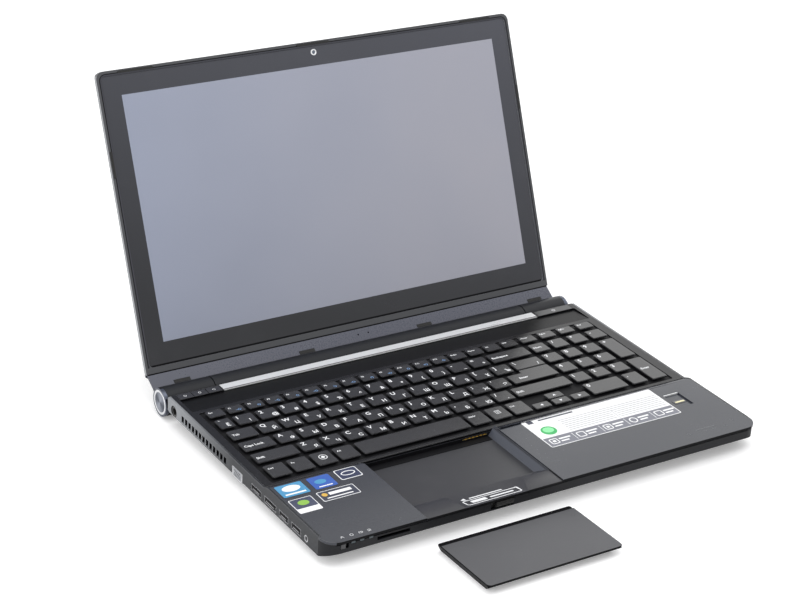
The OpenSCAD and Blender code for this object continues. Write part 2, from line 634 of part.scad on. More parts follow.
module heat_sink() color("#b87333") place() union() {
    block([-112, 114, board_top + 1.5], [-68, 144, board_top + 3.3]);
    block([-inner_w + 3, 142, board_top + 3.2], [-70, 149, board_top + 5.6]);
    block([-inner_w + 3, 142, board_top + 4.8], [-inner_w + 11, 142 + vent_span, board_top + 5.8]);
    for (i = [0 : fin_count - 1])
        block([-inner_w + 3, 149.6 + i * 4.1, board_z + 0.4], [-inner_w + 11, 150.4 + i * 4.1, board_top + 5]);
}
fan_x = -147;
fan_y = 182;
fan_r = 24;
fan_low = floor_at(fan_y - 28) + 1.41;
fan_high = fan_low + 10.6;
module fan_housing() color("#3a3b3f") place() difference() {
    union() {
        block([fan_x - 28, fan_y - 28, fan_low - 1.2], [fan_x + 28, fan_y + 28, fan_high + 1]);
        for (p = [[-22, -25], [22, 25], [22, -25]]) translate([fan_x + p[0], fan_y + p[1], floor_at(fan_y + p[1]) + 0.05])
            cylinder(h = 3, r = 2);
    }
    translate([fan_x, fan_y, fan_low]) cylinder(h = fan_high - fan_low, r = fan_r + 1);
    block([fan_x - 40, fan_y - 20, fan_low], [fan_x, fan_y + 20, fan_high]);
    translate([fan_x, fan_y, fan_high - 1]) cylinder(h = 5, r = 15);
    translate([fan_x, fan_y, fan_low - 3]) cylinder(h = 4, r = 1.5);
    for (a = [30 : 90 : 300]) rotate_about(fan_x, fan_y, a) block([6, -4, fan_low - 3], [18, 4, fan_low + 1]);
}
module rotate_about(x, y, a) translate([x, y, 0]) rotate([0, 0, a]) children();
blade_count = 11;
module fan_rotor() color("#202124") place() union() {
    translate([fan_x, fan_y, fan_low + 1]) cylinder(h = fan_high - fan_low - 2.4, r = 11);
    translate([fan_x, fan_y, fan_low - 1.1]) cylinder(h = 3, r = 1.44);
    for (i = [0 : blade_count - 1]) rotate_about(fan_x, fan_y, i * 360 / blade_count)
        along_z(fan_low + 1.2, fan_high - 1.6) polygon([[10, -0.6], [17, 0.8], [fan_r - 0.5, 4], [fan_r - 1, 5], [16.6, 2], [10, 0.6]]);
}
module memory_modules() color("#2b7a4b") place() for (i = [0 : 1]) union() {
    block([-48 + i * 50, 110, board_z - 2.4], [-4 + i * 50, 140, board_z - 1.2]);
    for (j = [0 : 3])
        block([-46 + i * 50 + j * 10.5, 116, board_z - 3.2], [-38 + i * 50 + j * 10.5, 134, board_z - 2.3]);
    block([-48 + i * 50, 137, board_z - 2.4], [-4 + i * 50, 143, board_z - 0.02]);
}
module hard_drive() color("#9a9ca0") place() union() {
    block([disk_x, disk_y, disk_z], [disk_x + disk_w, drive_y0 - 1, disk_z + disk_h]);
    block([disk_x + 6, disk_y + 5, disk_z + disk_h], [disk_x + 66, drive_y0 - 8, disk_z + disk_h + 0.5]);
}
module wireless_card() color("#2b7a4b") place() union() {
    block([-128, 110, board_top + 1.6], [-114, 138, board_top + 2.4]);
    block([-128, 134, board_top + 0.02], [-114, 138, board_top + 1.7]);
    block([-126, 114, board_top + 2.4], [-116, 128, board_top + 3.4]);
}
module battery_pack() color("#232427") place() intersection() {
    block([battery_x0, battery_y0, -60], [battery_x1, battery_y1, battery_top - 0.2]);
    along_x(battery_x0, battery_x1) polygon([[battery_y0, under_at(battery_y0)], [battery_y1, under_at(battery_y1)],
        [battery_y1, 0], [battery_y0, 0]]);
}
module battery_latch() color("#111214") place() union() {
    block([block_latch_x - 5, block_latch_y - 2, under_at(block_latch_y) - 0.4],
          [block_latch_x + 5, block_latch_y + 2, floor_at(block_latch_y) + 0.4]);
    block([battery_x1 + 0.5, block_latch_y - 3.5, floor_at(block_latch_y - 3.5) + 0.25],
          [block_latch_x + 9, block_latch_y + 3.5, floor_at(block_latch_y) + 1.8]);
}
module optical_drive() color("#8c8f94") place() difference() {
    block([inner_w - drive_w, drive_y0, drive_z], [inner_w - drive_end, drive_y0 + drive_d, drive_z + drive_t]);
    block([inner_w - drive_w + 2, drive_y0 + 0.8, drive_z + 0.8], [inner_w + 5, drive_y0 + drive_d - 0.8, drive_z + drive_t - 0.8]);
}
disc_x = inner_w - 66;
disc_y = drive_y0 + drive_d / 2;
module optical_tray() color("#2e2f33") place() difference() {
    union() {
        block([inner_w - drive_w + 4, drive_y0 + 1.1, drive_z + 1.1], [inner_w + 0.2, drive_y0 + drive_d - 1.1, drive_z + 6]);
        // front plate, flush with the side frame
        along_y(drive_y0 + 0.1, drive_y0 + drive_d - 0.1) polygon([[inner_w - 0.4, side_slope(inner_w - 0.4)],
            [half_w, side_slope(half_w)], [half_w, drive_z + drive_t - 0.1], [inner_w - 0.4, drive_z + drive_t - 0.1]]);
        translate([disc_x, disc_y, drive_z + 3]) cylinder(h = 4.6, r = 7.4);
    }
    difference() {
        translate([disc_x, disc_y, drive_z + 3.6]) cylinder(h = 20, r = 60.5);
        translate([disc_x, disc_y, drive_z + 3]) cylinder(h = 10, r = 7.4);
    }
    block([inner_w - 3, eject_y - 3.2, eject_z - 1.4], [half_w + 1, eject_y + 3.2, eject_z + 1.4]);
}
eject_y = drive_y0 + drive_d - 22;
eject_z = drive_z + drive_t / 2;
module eject_button() color("#3b3c40") place()
    block([inner_w - 1.4, eject_y - 3, eject_z - 1.2], [half_w + 0.2, eject_y + 3, eject_z + 1.2]);
module service_cover() color("#232427") place() union() {
    along_x(cover_x0, cover_x1) polygon([[cover_y0, under_at(cover_y0)], [cover_y1, under_at(cover_y1)],
        [cover_y1, under_at(cover_y1) + 1.6], [cover_y0, under_at(cover_y0) + 1.6]]);
}
module rubber_feet() color("#0f1011") place() for (p = foot_spots)
    translate([p[0], p[1], under_at(p[1])]) rotate([-wedge, 0, 0]) difference() {
        translate([0, 0, -foot_h]) cylinder(h = foot_h + 2, r = 8);
        rotate([wedge, 0, 0]) block([-10, -10, 0], [10, 10, 9]);
        rotate([wedge, 0, 0]) along_x(-10, 10) polygon([[-12, 12 * tan(wedge)], [12, -12 * tan(wedge)], [12, 9], [-12, 9]]);
    }
module case_screws() color("#4a4b4f") place() for (p = screw_spots) translate([p[0], p[1], under_at(p[1])]) difference() {
    union() {
        translate([0, 0, 0.15]) cylinder(h = 0.75, r = 2.7);
        translate([0, 0, 0.7]) cylinder(h = 5, r = 1.2);
    }
    block([-1.6, -0.3, -1], [1.6, 0.3, 0.5]);
    block([-0.3, -1.6, -1], [0.3, 1.6, 0.5]);
}

// ---- sockets ----
jack_pin_r = 0.8;
jack_bore_r = 2.8;
module power_jack() color("#151618") place() translate([0, jack_y, jack_z]) union() {
    difference() {
        union() {
            rod_x(-half_w + 0.6, -half_w + 13, jack_r);
            block([-half_w + 5, -4.9, -4.2], [-half_w + 13, 4.9, 4.5]);
        }
        rod_x(-half_w - 1, -half_w + 11, jack_bore_r);
    }
    rod_x(-half_w + 2, -half_w + 11.5, jack_pin_r);
}
// a sheet metal shell with a plastic tongue
module socket_body(s, tongue) difference() {
    block([-half_w + 0.3, s[0] - s[1] / 2, s[3]], [-half_w + socket_deep, s[0] + s[1] / 2, s[2]]);
    difference() {
        block([-half_w - 1, s[0] - s[1] / 2 + 0.5, s[3] + 0.5], [-half_w + socket_deep - 2, s[0] + s[1] / 2 - 0.5, s[2] - 0.5]);
        block([-half_w + 1, s[0] - s[1] / 2 + 1.2, s[3] + tongue], [-half_w + socket_deep, s[0] + s[1] / 2 - 1.2, s[3] + tongue + 1.7]);
    }
}
pin_rows = 3;
pins_in_row = 5;
module monitor_port() difference() {
    block([-half_w + 0.3, monitor_socket[0] - monitor_socket[1] / 2, monitor_socket[3]],
          [-half_w + socket_deep, monitor_socket[0] + monitor_socket[1] / 2, monitor_socket[2]]);
    for (r = [0 : pin_rows - 1], c = [0 : pins_in_row - 1])
        translate([0, monitor_socket[0] + (c - 2) * 2.3, monitor_socket[3] + 1.8 + r * 2])
            rod_x(-half_w - 1, -half_w + 8, 0.5);
}
module side_sockets() color("#c9cbce") place() {
    for (s = sockets) socket_body(s, 1.6);
    monitor_port();
    mirror([1, 0, 0]) socket_body(right_socket, 1.6);
    translate([0, audio_y, audio_z]) audio_port(-1);
    for (y = right_jacks) translate([0, y, audio_z]) audio_port(1);
}
audio_bore_r = 1.8;
module audio_port(side) mirror([side < 0 ? 1 : 0, 0, 0]) difference() {
    union() {
        rod_x(half_w - 12, half_w - 0.2, audio_r);
        block([half_w - 12, -3, -2.95], [half_w - 5, 3, 2.6]);
    }
    rod_x(half_w - 11, half_w + 1, audio_bore_r);
}
module fingerprint_reader() color("#3c3d41") place() union() {
    block([finger_x0 + 1.65, finger_y0 + 6.15, -3.4], [finger_x1 - 1.65, finger_y1 - 9.65, -0.9]);
}
light_x = [-170, -163, -155.8];
module light(x, grow) block([x - 1.6 - grow, face_front + 0.2 - 2 * grow, -4.4 - grow], [x + 1.6 + grow, face_front + 2.4 + grow, -palm_t - 0.6 + grow]);
switch_x0 = -180;
switch_x1 = -176.4;
switch_travel = 2.4;
switch_z0 = -6.4;
switch_z1 = -palm_t - 0.7;
module switch_slot() block([switch_x0 - slide_fit, face_front - 1.5, switch_z0 - slide_fit],
    [switch_x1 + switch_travel + slide_fit, face_front + wall + 1, switch_z1 + slide_fit]);
module radio_switch() color("#c2c4c7") place() union() {
    block([switch_x0, face_front - 0.4, switch_z0], [switch_x1, face_front + 2.6, switch_z1]);
    block([switch_x0 - 1.1, face_front + 2.1, switch_z0], [switch_x1 + 2, face_front + 2.6, switch_z1]);
}
module status_lights() color("#8fa9b5") place() for (x = light_x) light(x, 0);

// ---- hinge ----
cover_bore = barrel_r - 1.8;
module hinge_cover() color("#4a4c53") place() at_axis() difference() {
    union() {
        rod_x(-barrel_half, barrel_half, barrel_r);
        along_x(-barrel_half, barrel_half) polygon([[-axis_back + fit, -5], [-axis_back + fit, 6],
            [-axis_back + 2, 6.4], [-6, 5], [-6, -7]]);
    }
    rod_x(-barrel_half + 1.5, barrel_half - 1.5, cover_bore);
    rod_x(-barrel_half - 1, barrel_half + 1, pin_r + 0.6);
    both_sides() block([139.6, -axis_back - 1, 0.1], [143.4, 0, 7.6]);
}
arm_x0 = 151;
arm_x1 = 154;
knuckle_x1 = 163;
module hinge_brackets() color("#7e8186") place() at_axis() both_sides() union() {
    rod_x(140, knuckle_x1 + 2, pin_r);
    rod_x(140, 143, 7);
    block([140, -axis_back - 20, bracket_foot], [143, -3, 5]);
    block([126, -axis_back - 22, bracket_foot], [143, -axis_back - 10, bracket_foot + 1.4]);
}

// ---- lid ----
module lid_plan(inset) polygon(concat(arc(half_w - lid_corner_r, lid_top - lid_corner_r, lid_corner_r - inset, 0, 90, 6),
    arc(-half_w + lid_corner_r, lid_top - lid_corner_r, lid_corner_r - inset, 90, 180, 6),
    [[-half_w + inset, -20], [half_w - inset, -20]]));
// the back cover's section across the lid, in (x, out of the screen)
module lid_cross() polygon([[half_w, 5], [half_w, part_n - 0.4], [half_w - 2, part_n - 2.6], [half_w - 8, lid_back + 0.9],
    [half_w - 17, lid_back], [-half_w + 17, lid_back], [-half_w + 8, lid_back + 0.9],
    [-half_w + 2, part_n - 2.6], [-half_w, part_n - 0.4], [-half_w, 5]]);
module lid_form() intersection() {
    along_x(-half_w - 1, half_w + 1) polygon(lid_profile());
    translate([0, lid_top + 1, 0]) rotate([90, 0, 0]) linear_extrude(lid_top + 30) lid_cross();
    along_z(-60, 30) lid_plan(0);
}
cavity_low = 18;
cavity_half = half_w - 7;
module arm_slot(gap) both_sides() along_x(arm_x0 - gap, arm_x1 + gap)
    polygon([[-3, -4], [2, lid_back + 6 - gap], [16, lid_back + 1.8 - gap], [40, lid_back + 1.8 - gap],
             [40, part_n + 1], [18, part_n + 1 + gap], [8, -4]]);
// lower corners of the back cover, cut away beside the hinge rings
module lid_heel() both_sides() along_z(-60, part_n + 0.1)
    polygon([[half_w + 1, rim_low - 1], [half_w - 5.4, rim_low - 5], [half_w - 5.4, -30], [half_w + 1, -30]]);
module lid_back_cover() color("#3f4147") in_lid() difference() {
    lid_form();
    lid_heel();
    block([-half_w - 1, -30, part_n], [half_w + 1, lid_top + 5, 30]);
    block([-cavity_half, cavity_low, lid_back + 1.7], [cavity_half, lid_top - 6, part_n + 1]);
    arm_slot(0.3);
}
module lid_rim() color("#6b7072") in_lid() difference() {
    intersection() {
        lid_form();
        block([-half_w - 1, rim_low, part_n], [half_w + 1, lid_top + 5, 30]);
    }
    along_z(-face_back - 1.1, 5) polygon(round_rect(-glass_half, glass_low, glass_half, glass_high, 3));
    block([-glass_half + rim_ledge, glass_low + rim_ledge, -60], [glass_half - rim_ledge, glass_high - rim_ledge, 5]);
    for (b = rim_bumpers) bumper(b, 0.1);
}
bumper_t = 1.1;
rim_ledge = 2.4;                             // ledge of the rim behind the glass
rim_mid = lid_top - rim_w / 2;
// [middle in x, middle along the lid, half length in x, half length along the lid]
rim_bumpers = concat([for (x = [-1, 0, 1]) [x * (half_w - 33.5), rim_mid, 15, 0.9]],
    [for (s = [-1, 1]) [s * (half_w - rim_w / 2), picture_v + 141.5, 0.9, 10.5]]);
module bumper(b, grow) along_z(-face_back - bumper_t - grow, -face_back + 0.9)
    polygon(round_rect(b[0] - b[2] - grow, b[1] - b[3] - grow, b[0] + b[2] + grow, b[1] + b[3] + grow, 0.8));
band_bumpers = [for (i = [-1.5 : 1.5]) i * 112 + 3.6];
module lid_bumpers() color("#101113") in_lid() {
    for (b = rim_bumpers) bumper(b, 0);
    for (x = band_bumpers) band_pad(x, 0);
}
// unit step along the lower band, from its lower edge up to the rim
band_run = [rim_low - band_v, -face_back - band_n];
band_len = norm(band_run);
band_dir = band_run / band_len;
band_out = [-band_dir[1], band_dir[0]];
function band_point(s, t) = [band_v, band_n] + s * band_dir + t * band_out;
module band_pad(x, grow) along_x(x - 7 - grow, x + 7 + grow)
    polygon([band_point(0.3, -1 - grow), band_point(0.3, 0.35 + grow), band_point(3.6 + grow, 0.35 + grow), band_point(3.6 + grow, -1 - grow)]);
mic_spots = [-2.3, 7.3];
module lid_lower_band() color("#5c5d6b") in_lid() difference() {
    along_x(-half_w + 1, half_w - 1) polygon([band_point(0, 0), band_point(0, -1.5), [rim_low - 1, part_n + 0.05],
        [rim_low - fit, part_n + 0.05], band_point(band_len - 0.5, 0)]);
    for (x = band_bumpers) band_pad(x, 0.1);
    for (x = mic_spots) along_x(x - 0.6, x + 0.6) polygon([band_point(6, -4), band_point(6, 1), band_point(7.4, 1), band_point(7.4, -4)]);
}
module screen_glass() color("#4d5158") in_lid() difference() {
    along_z(-face_back - 1, -face_back)
        polygon(round_rect(-glass_half + fit, glass_low + fit, glass_half - fit, glass_high - fit, 2.8));
    translate([0, camera_v, -60]) cylinder(h = 80, r = 2.6);
}
camera_v = picture_v + picture_h + 10.8;
panel_low = picture_v - 8;
panel_high = camera_v - 5;
module display_panel() color("#5a5e63") in_lid() union() {
    block([-picture_w / 2 - 8, panel_low, lid_back + 1.9], [picture_w / 2 + 8, panel_high, -face_back - 1.2]);
    // circuit strip along the lower edge
    block([-120, panel_low - 6, lid_back + 2.2], [120, panel_low, lid_back + 4]);
}
module camera_module() color("#1a1b1d") in_lid() union() {
    block([-18, camera_v - 4, part_n - 1.4], [18, camera_v + 2.4, -face_back - 1.1]);
    translate([0, camera_v, -face_back - 1.2]) cylinder(h = 1, r = 2.4);
    block([-12, camera_v - 3, lid_back + 1.75], [12, camera_v + 2.4, part_n - 1.3]);
}
module lid_hinge_arms() color("#7e8186") in_lid() both_sides() difference() {
    union() {
        rod_x(arm_x0, knuckle_x1, 6);
        along_x(arm_x0, arm_x1) polygon([[-1, -5.5], [3.6, lid_back + 6.4], [16.4, lid_back + 2.4], [34, lid_back + 2.4],
            [34, lid_back + 4.6], [20.5, lid_back + 4.6], [8.2, band_n - 2.1], [5.6, -2]]);
    }
    rod_x(arm_x0 - 1, knuckle_x1 + 1, pin_r + pin_play);
}
cap_x0 = barrel_half + 0.8;
ring_t = 3;
cap_x1 = half_w - ring_t;
module hinge_caps() color("#53555c") in_lid() both_sides() difference() {
    union() {
        rod_x(cap_x0, cap_x1, barrel_r);
        // web that joins the cap to the back cover
        intersection() {
            along_x(cap_x0, cap_x1) polygon(concat([[0, 0]], arc(0, 0, shell_r - 0.05, -86, -50, 6)));
            rod_x(cap_x0, cap_x1, shell_r);
        }
    }
    rod_x(cap_x0 + 1.2, cap_x1 - 2, barrel_r - 1.6);
    rod_x(cap_x0 - 1, cap_x0 + 3, 6.6);
    along_x(arm_x0 - 0.3, arm_x1 + 0.3) polygon([[-3, -2], [2, -20], [18, -20], [11, -4], [6, 2]]);
}
module hinge_rings() color("#d9dbdf") in_lid() both_sides() union() {
    difference() {
        rod_x(cap_x1, half_w, barrel_r);
        rod_x(cap_x1 + 1.2, half_w + 1, barrel_r - 2);
    }
    rod_x(cap_x1 + 1.1, half_w - 0.9, barrel_r - 2.6);
}

// ---- touchpad module, lying on the table ----
pad_gap = 0.3;
pad_over_x = 1.5;                            // how far the module's top reaches over the bay's right wall
pad_w = bay_w - 2 * pad_gap + pad_over_x;
pad_x0 = bay_left + pad_gap;
pad_plate_t = 1.4;
pad_strip_d = 5;                             // lower strip along the module's rear edge
pad_taper = 3.2;
pad_r = 3;                                   // front corners
module pad_outline(inset) polygon(concat(
    arc(pad_x0 + pad_w - pad_r, pad_front_y + pad_r, pad_r - inset, -90, 0, 6),
    arc(pad_x0 + pad_w - 1.5, pad_back_y - 1.5, 1.5 - inset * 0.4, 0, 90, 3),
    arc(pad_x0 + 1.5, pad_back_y - 1.5, 1.5 - inset * 0.4, 90, 180, 3),
    arc(pad_x0 + pad_r, pad_front_y + pad_r, pad_r - inset, 180, 270, 6)));
module pad_shape(grow) intersection() {
    along_z(grow, pad_t - grow) pad_outline(grow);
    along_x(pad_x0 - 1, pad_x0 + pad_w + 1) polygon([[pad_back_y - grow, 0], [pad_front_y + pad_over_y + pad_taper + grow, 0],
        [pad_front_y + 0.4 + grow, pad_t - pad_plate_t - 0.6], [pad_front_y + grow, pad_t - pad_plate_t + 0.2],
        [pad_front_y + grow, pad_t], [pad_back_y - grow, pad_t]]);
    along_y(pad_front_y - 1, pad_back_y + 1) polygon([[pad_x0 + pad_taper + grow, 0], [pad_x0 + pad_w - pad_over_x - pad_taper - grow, 0],
        [pad_x0 + pad_w - 0.4 - grow, pad_t - pad_plate_t - 0.6], [pad_x0 + pad_w - grow, pad_t - pad_plate_t + 0.2],
        [pad_x0 + pad_w - grow, pad_t], [pad_x0 + grow, pad_t], [pad_x0 + grow, pad_t - pad_plate_t + 0.2],
        [pad_x0 + 0.4 + grow, pad_t - pad_plate_t - 0.6]]);
}
module pad_top_plate() color("#6a6c72") on_table() intersection() {
    pad_shape(0);
    block([-500, -500, pad_t - pad_plate_t], [500, pad_back_y - pad_strip_d, 50]);
}
module pad_lower_case() color("#121315") on_table() difference() {
    pad_shape(0);
    block([-500, -500, pad_t - pad_plate_t - 0.05], [500, pad_back_y - pad_strip_d + 0.1, 50]);
    block([-500, pad_back_y - pad_strip_d, pad_t - 0.9], [500, pad_back_y + 50, 50]);
    block([pad_x0 + 6, pad_front_y + 10, 1.2], [pad_x0 + pad_w - 7, pad_back_y - 6.5, 50]);
}
module pad_board() color("#1f5f3a") on_table() union() {
    block([pad_x0 + 7, pad_front_y + 11, pad_t - pad_plate_t - 1.1], [pad_x0 + pad_w - 8, pad_back_y - 7.5, pad_t - pad_plate_t - 0.1]);
    block([pad_x0 + 66, pad_front_y + 20, pad_t - pad_plate_t - 2.2], [pad_x0 + 80, pad_front_y + 34, pad_t - pad_plate_t - 1]);
    block([pad_x0 + 90, pad_front_y + 14, 1.3], [pad_x0 + 94, pad_front_y + 18, pad_t - pad_plate_t - 1]);
}
module pad_battery() color("#9fa2a6") on_table()
    block([pad_x0 + 9, pad_front_y + 14, 1.25], [pad_x0 + 60, pad_back_y - 12, pad_t - pad_plate_t - 1.3]);

lower_case();
side_frame_left();
side_frame_right();
palm_rest_left();
palm_rest_right();
keyboard_deck();
touchpad_bay();
bay_contacts();
bay_latch();
speaker_panel();
speakers();
trim_strip();
quick_buttons();
power_button();
keyboard_plate();
function_keys();
number_keys();
tab_row_keys();
home_row_keys();
shift_row_keys();
bottom_row_keys();
space_bar();
enter_key();
numpad_keys();
motherboard();
heat_sink();
fan_housing();
fan_rotor();
memory_modules();
hard_drive();
wireless_card();
battery_pack();
battery_latch();
optical_drive();
optical_tray();
eject_button();
service_cover();
rubber_feet();
case_screws();
power_jack();
side_sockets();
fingerprint_reader();
status_lights();
radio_switch();
hinge_cover();
hinge_brackets();
lid_back_cover();
lid_rim();
lid_lower_band();
screen_glass();
display_panel();
camera_module();
lid_bumpers();
lid_hinge_arms();
hinge_caps();
hinge_rings();
pad_top_plate();
pad_lower_case();
pad_board();
pad_battery();
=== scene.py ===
"""Looks of an open laptop computer whose touchpad module has been lifted out of the palm rest.

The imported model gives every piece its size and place. Here each visible piece gets rounded
edges and a procedural finish, and what is printed, stuck or moulded on it is added: key
legends, labels, marks, the camera's lens and the status icons.
"""

import json
import logging
import math
from dataclasses import dataclass, field
from enum import Enum
from typing import Callable, Optional, Sequence

import bmesh
import bpy
from mathutils import Matrix, Vector


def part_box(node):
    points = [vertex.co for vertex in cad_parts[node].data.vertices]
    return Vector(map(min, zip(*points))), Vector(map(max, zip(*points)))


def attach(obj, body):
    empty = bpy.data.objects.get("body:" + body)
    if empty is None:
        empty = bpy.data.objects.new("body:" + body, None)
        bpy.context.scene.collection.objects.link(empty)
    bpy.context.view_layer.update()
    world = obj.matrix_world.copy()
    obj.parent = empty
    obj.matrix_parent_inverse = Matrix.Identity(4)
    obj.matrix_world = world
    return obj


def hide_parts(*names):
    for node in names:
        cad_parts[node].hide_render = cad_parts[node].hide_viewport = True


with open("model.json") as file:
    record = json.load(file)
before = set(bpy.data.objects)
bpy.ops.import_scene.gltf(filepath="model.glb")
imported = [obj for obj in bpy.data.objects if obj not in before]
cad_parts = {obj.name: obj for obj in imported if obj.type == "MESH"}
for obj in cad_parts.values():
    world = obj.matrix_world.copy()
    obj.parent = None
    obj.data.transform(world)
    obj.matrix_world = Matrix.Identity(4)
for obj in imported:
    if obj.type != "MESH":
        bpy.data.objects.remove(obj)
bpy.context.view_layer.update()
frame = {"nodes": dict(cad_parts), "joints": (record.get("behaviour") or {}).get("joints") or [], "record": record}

log = logging.getLogger("laptop")
logging.basicConfig(level=logging.INFO, format="%(message)s")

Point2 = tuple[float, float]
Point3 = tuple[float, float, float]
Color = tuple[float, float, float]
Outline = Sequence[Point2]
Tree = bpy.types.NodeTree
Node = bpy.types.Node
Mesh = bpy.types.Mesh
MM = 0.001


# ---------------------------------------------------------------- places on the laptop


@dataclass(frozen=True)
class Layout:
    """The laptop's two working frames, in millimetres, and their place in the model.

    The palm frame lies in the top of the palm rest: x from the middle, y from the front edge,
    z up. The lid frame turns about the hinge: x from the middle, v along the lid, n out of it.
    """

    wedge: float = math.radians(1.5)
    lean: float = math.radians(67.2)
    axis_y: float = 256.8
    axis_z: float = -14.5
    hinge: Point3 = tuple(next(j for j in frame["joints"] if j["name"] == "lid_hinge")["pos_m"])

    def palm_matrix(self) -> Matrix:
        """Matrix from the palm frame in millimetres to the model in metres."""
        turn = Matrix.Rotation(self.wedge, 4, "X")
        offset = Vector(self.hinge) - turn @ Vector((0, self.axis_y * MM, self.axis_z * MM))
        return Matrix.Translation(offset) @ turn @ Matrix.Scale(MM, 4)

    def lid_matrix(self) -> Matrix:
        """Matrix from the lid frame in millimetres to the model in metres."""
        turn = Matrix.Rotation(self.wedge + self.lean, 4, "X")
        return Matrix.Translation(Vector(self.hinge)) @ turn @ Matrix.Scale(MM, 4)


LAYOUT = Layout()
PALM = LAYOUT.palm_matrix()
LID = LAYOUT.lid_matrix()
DECK_Z = -2.5                                # the deck's top, in the palm frame


# ---------------------------------------------------------------- shader nodes


class Nodes:
    """Short ways to add nodes to one shader tree; an input takes a value or a socket."""

    def __init__(self, tree: Tree) -> None:
        """Works on a tree."""
        self.tree = tree

    def put(self, socket: object, value: object) -> None:
        """Links a socket to an input, or sets it to a value; None leaves it as it is.

        Args:
            socket: the input.
            value: a value or an output socket.
        """
        if isinstance(value, bpy.types.NodeSocket):
            self.tree.links.new(value, socket)
        elif value is not None:
            socket.default_value = value

    def fill(self, node: Node, **values: object) -> Node:
        """Fills a node's inputs by name.

        Args:
            node: the node.
            values: a value or socket for each input, with _ for each space in its name.

        Returns:
            The node.
        """
        for name, value in values.items():
            self.put(node.inputs[name.replace("_", " ")], value)
        return node

    def new(self, kind: str, **values: object) -> Node:
        """Adds a node, whose type is ShaderNode and kind, and fills its inputs."""
        return self.fill(self.tree.nodes.new("ShaderNode" + kind), **values)

    def group(self, name: str, **values: object) -> Node:
        """Adds one of the shared groups and fills its inputs.

        Args:
            name: the name that GroupBuilder.get knows it by.
            values: a value or socket for each input.

        Returns:
            The node.
        """
        node = self.new("Group")
        node.node_tree = GROUPS.get(name)
        return self.fill(node, **values)

    def math(self, kind: str, a: object, b: object = 0.0, clamp: bool = False) -> object:
        """Adds a Math node and returns its output.

        Args:
            kind: the operation.
            a: first value or socket.
            b: second value or socket.
            clamp: True to keep the result within 0 and 1.

        Returns:
            The output socket.
        """
        node = self.new("Math")
        node.operation = kind
        node.use_clamp = clamp
        for socket, value in zip(node.inputs, (a, b)):
            self.put(socket, value)
        return node.outputs[0]

    def vector(self, kind: str, a: object, b: object = None, scale: object = None) -> object:
        """Adds a Vector Math node and returns its output.

        Args:
            kind: the operation.
            a: first vector or socket.
            b: second vector or socket, or None.
            scale: factor of a SCALE operation, or None.

        Returns:
            The output socket, which is a number for a length or a dot product.
        """
        node = self.new("VectorMath")
        node.operation = kind
        for socket, value in zip(node.inputs[:2], (a, b)):
            self.put(socket, value)
        if scale is not None:
            self.put(node.inputs["Scale"], scale)
        return node.outputs["Value"] if kind in ("LENGTH", "DOT_PRODUCT") else node.outputs[0]

    def mix(self, factor: object, a: object, b: object) -> object:
        """Adds a colour Mix node and returns its output.

        Args:
            factor: how much of b, from 0 to 1.
            a: first colour or socket.
            b: second colour or socket.

        Returns:
            The output socket.
        """
        node = self.new("Mix")
        node.data_type = "RGBA"
        node.clamp_factor = True
        return self.fill(node, Factor=factor, A=a, B=b).outputs["Result"]

    def where(self) -> object:
        """Returns the place on the model, in metres."""
        return self.new("TexCoord").outputs["Object"]

    def split(self, vector: object) -> object:
        """Returns a vector's X, Y and Z outputs."""
        return self.new("SeparateXYZ", Vector=vector).outputs

    def finish(self, **results: object) -> Tree:
        """Ends a group: adds its output node, fills it and returns the tree."""
        self.fill(self.tree.nodes.new("NodeGroupOutput"), **results)
        return self.tree


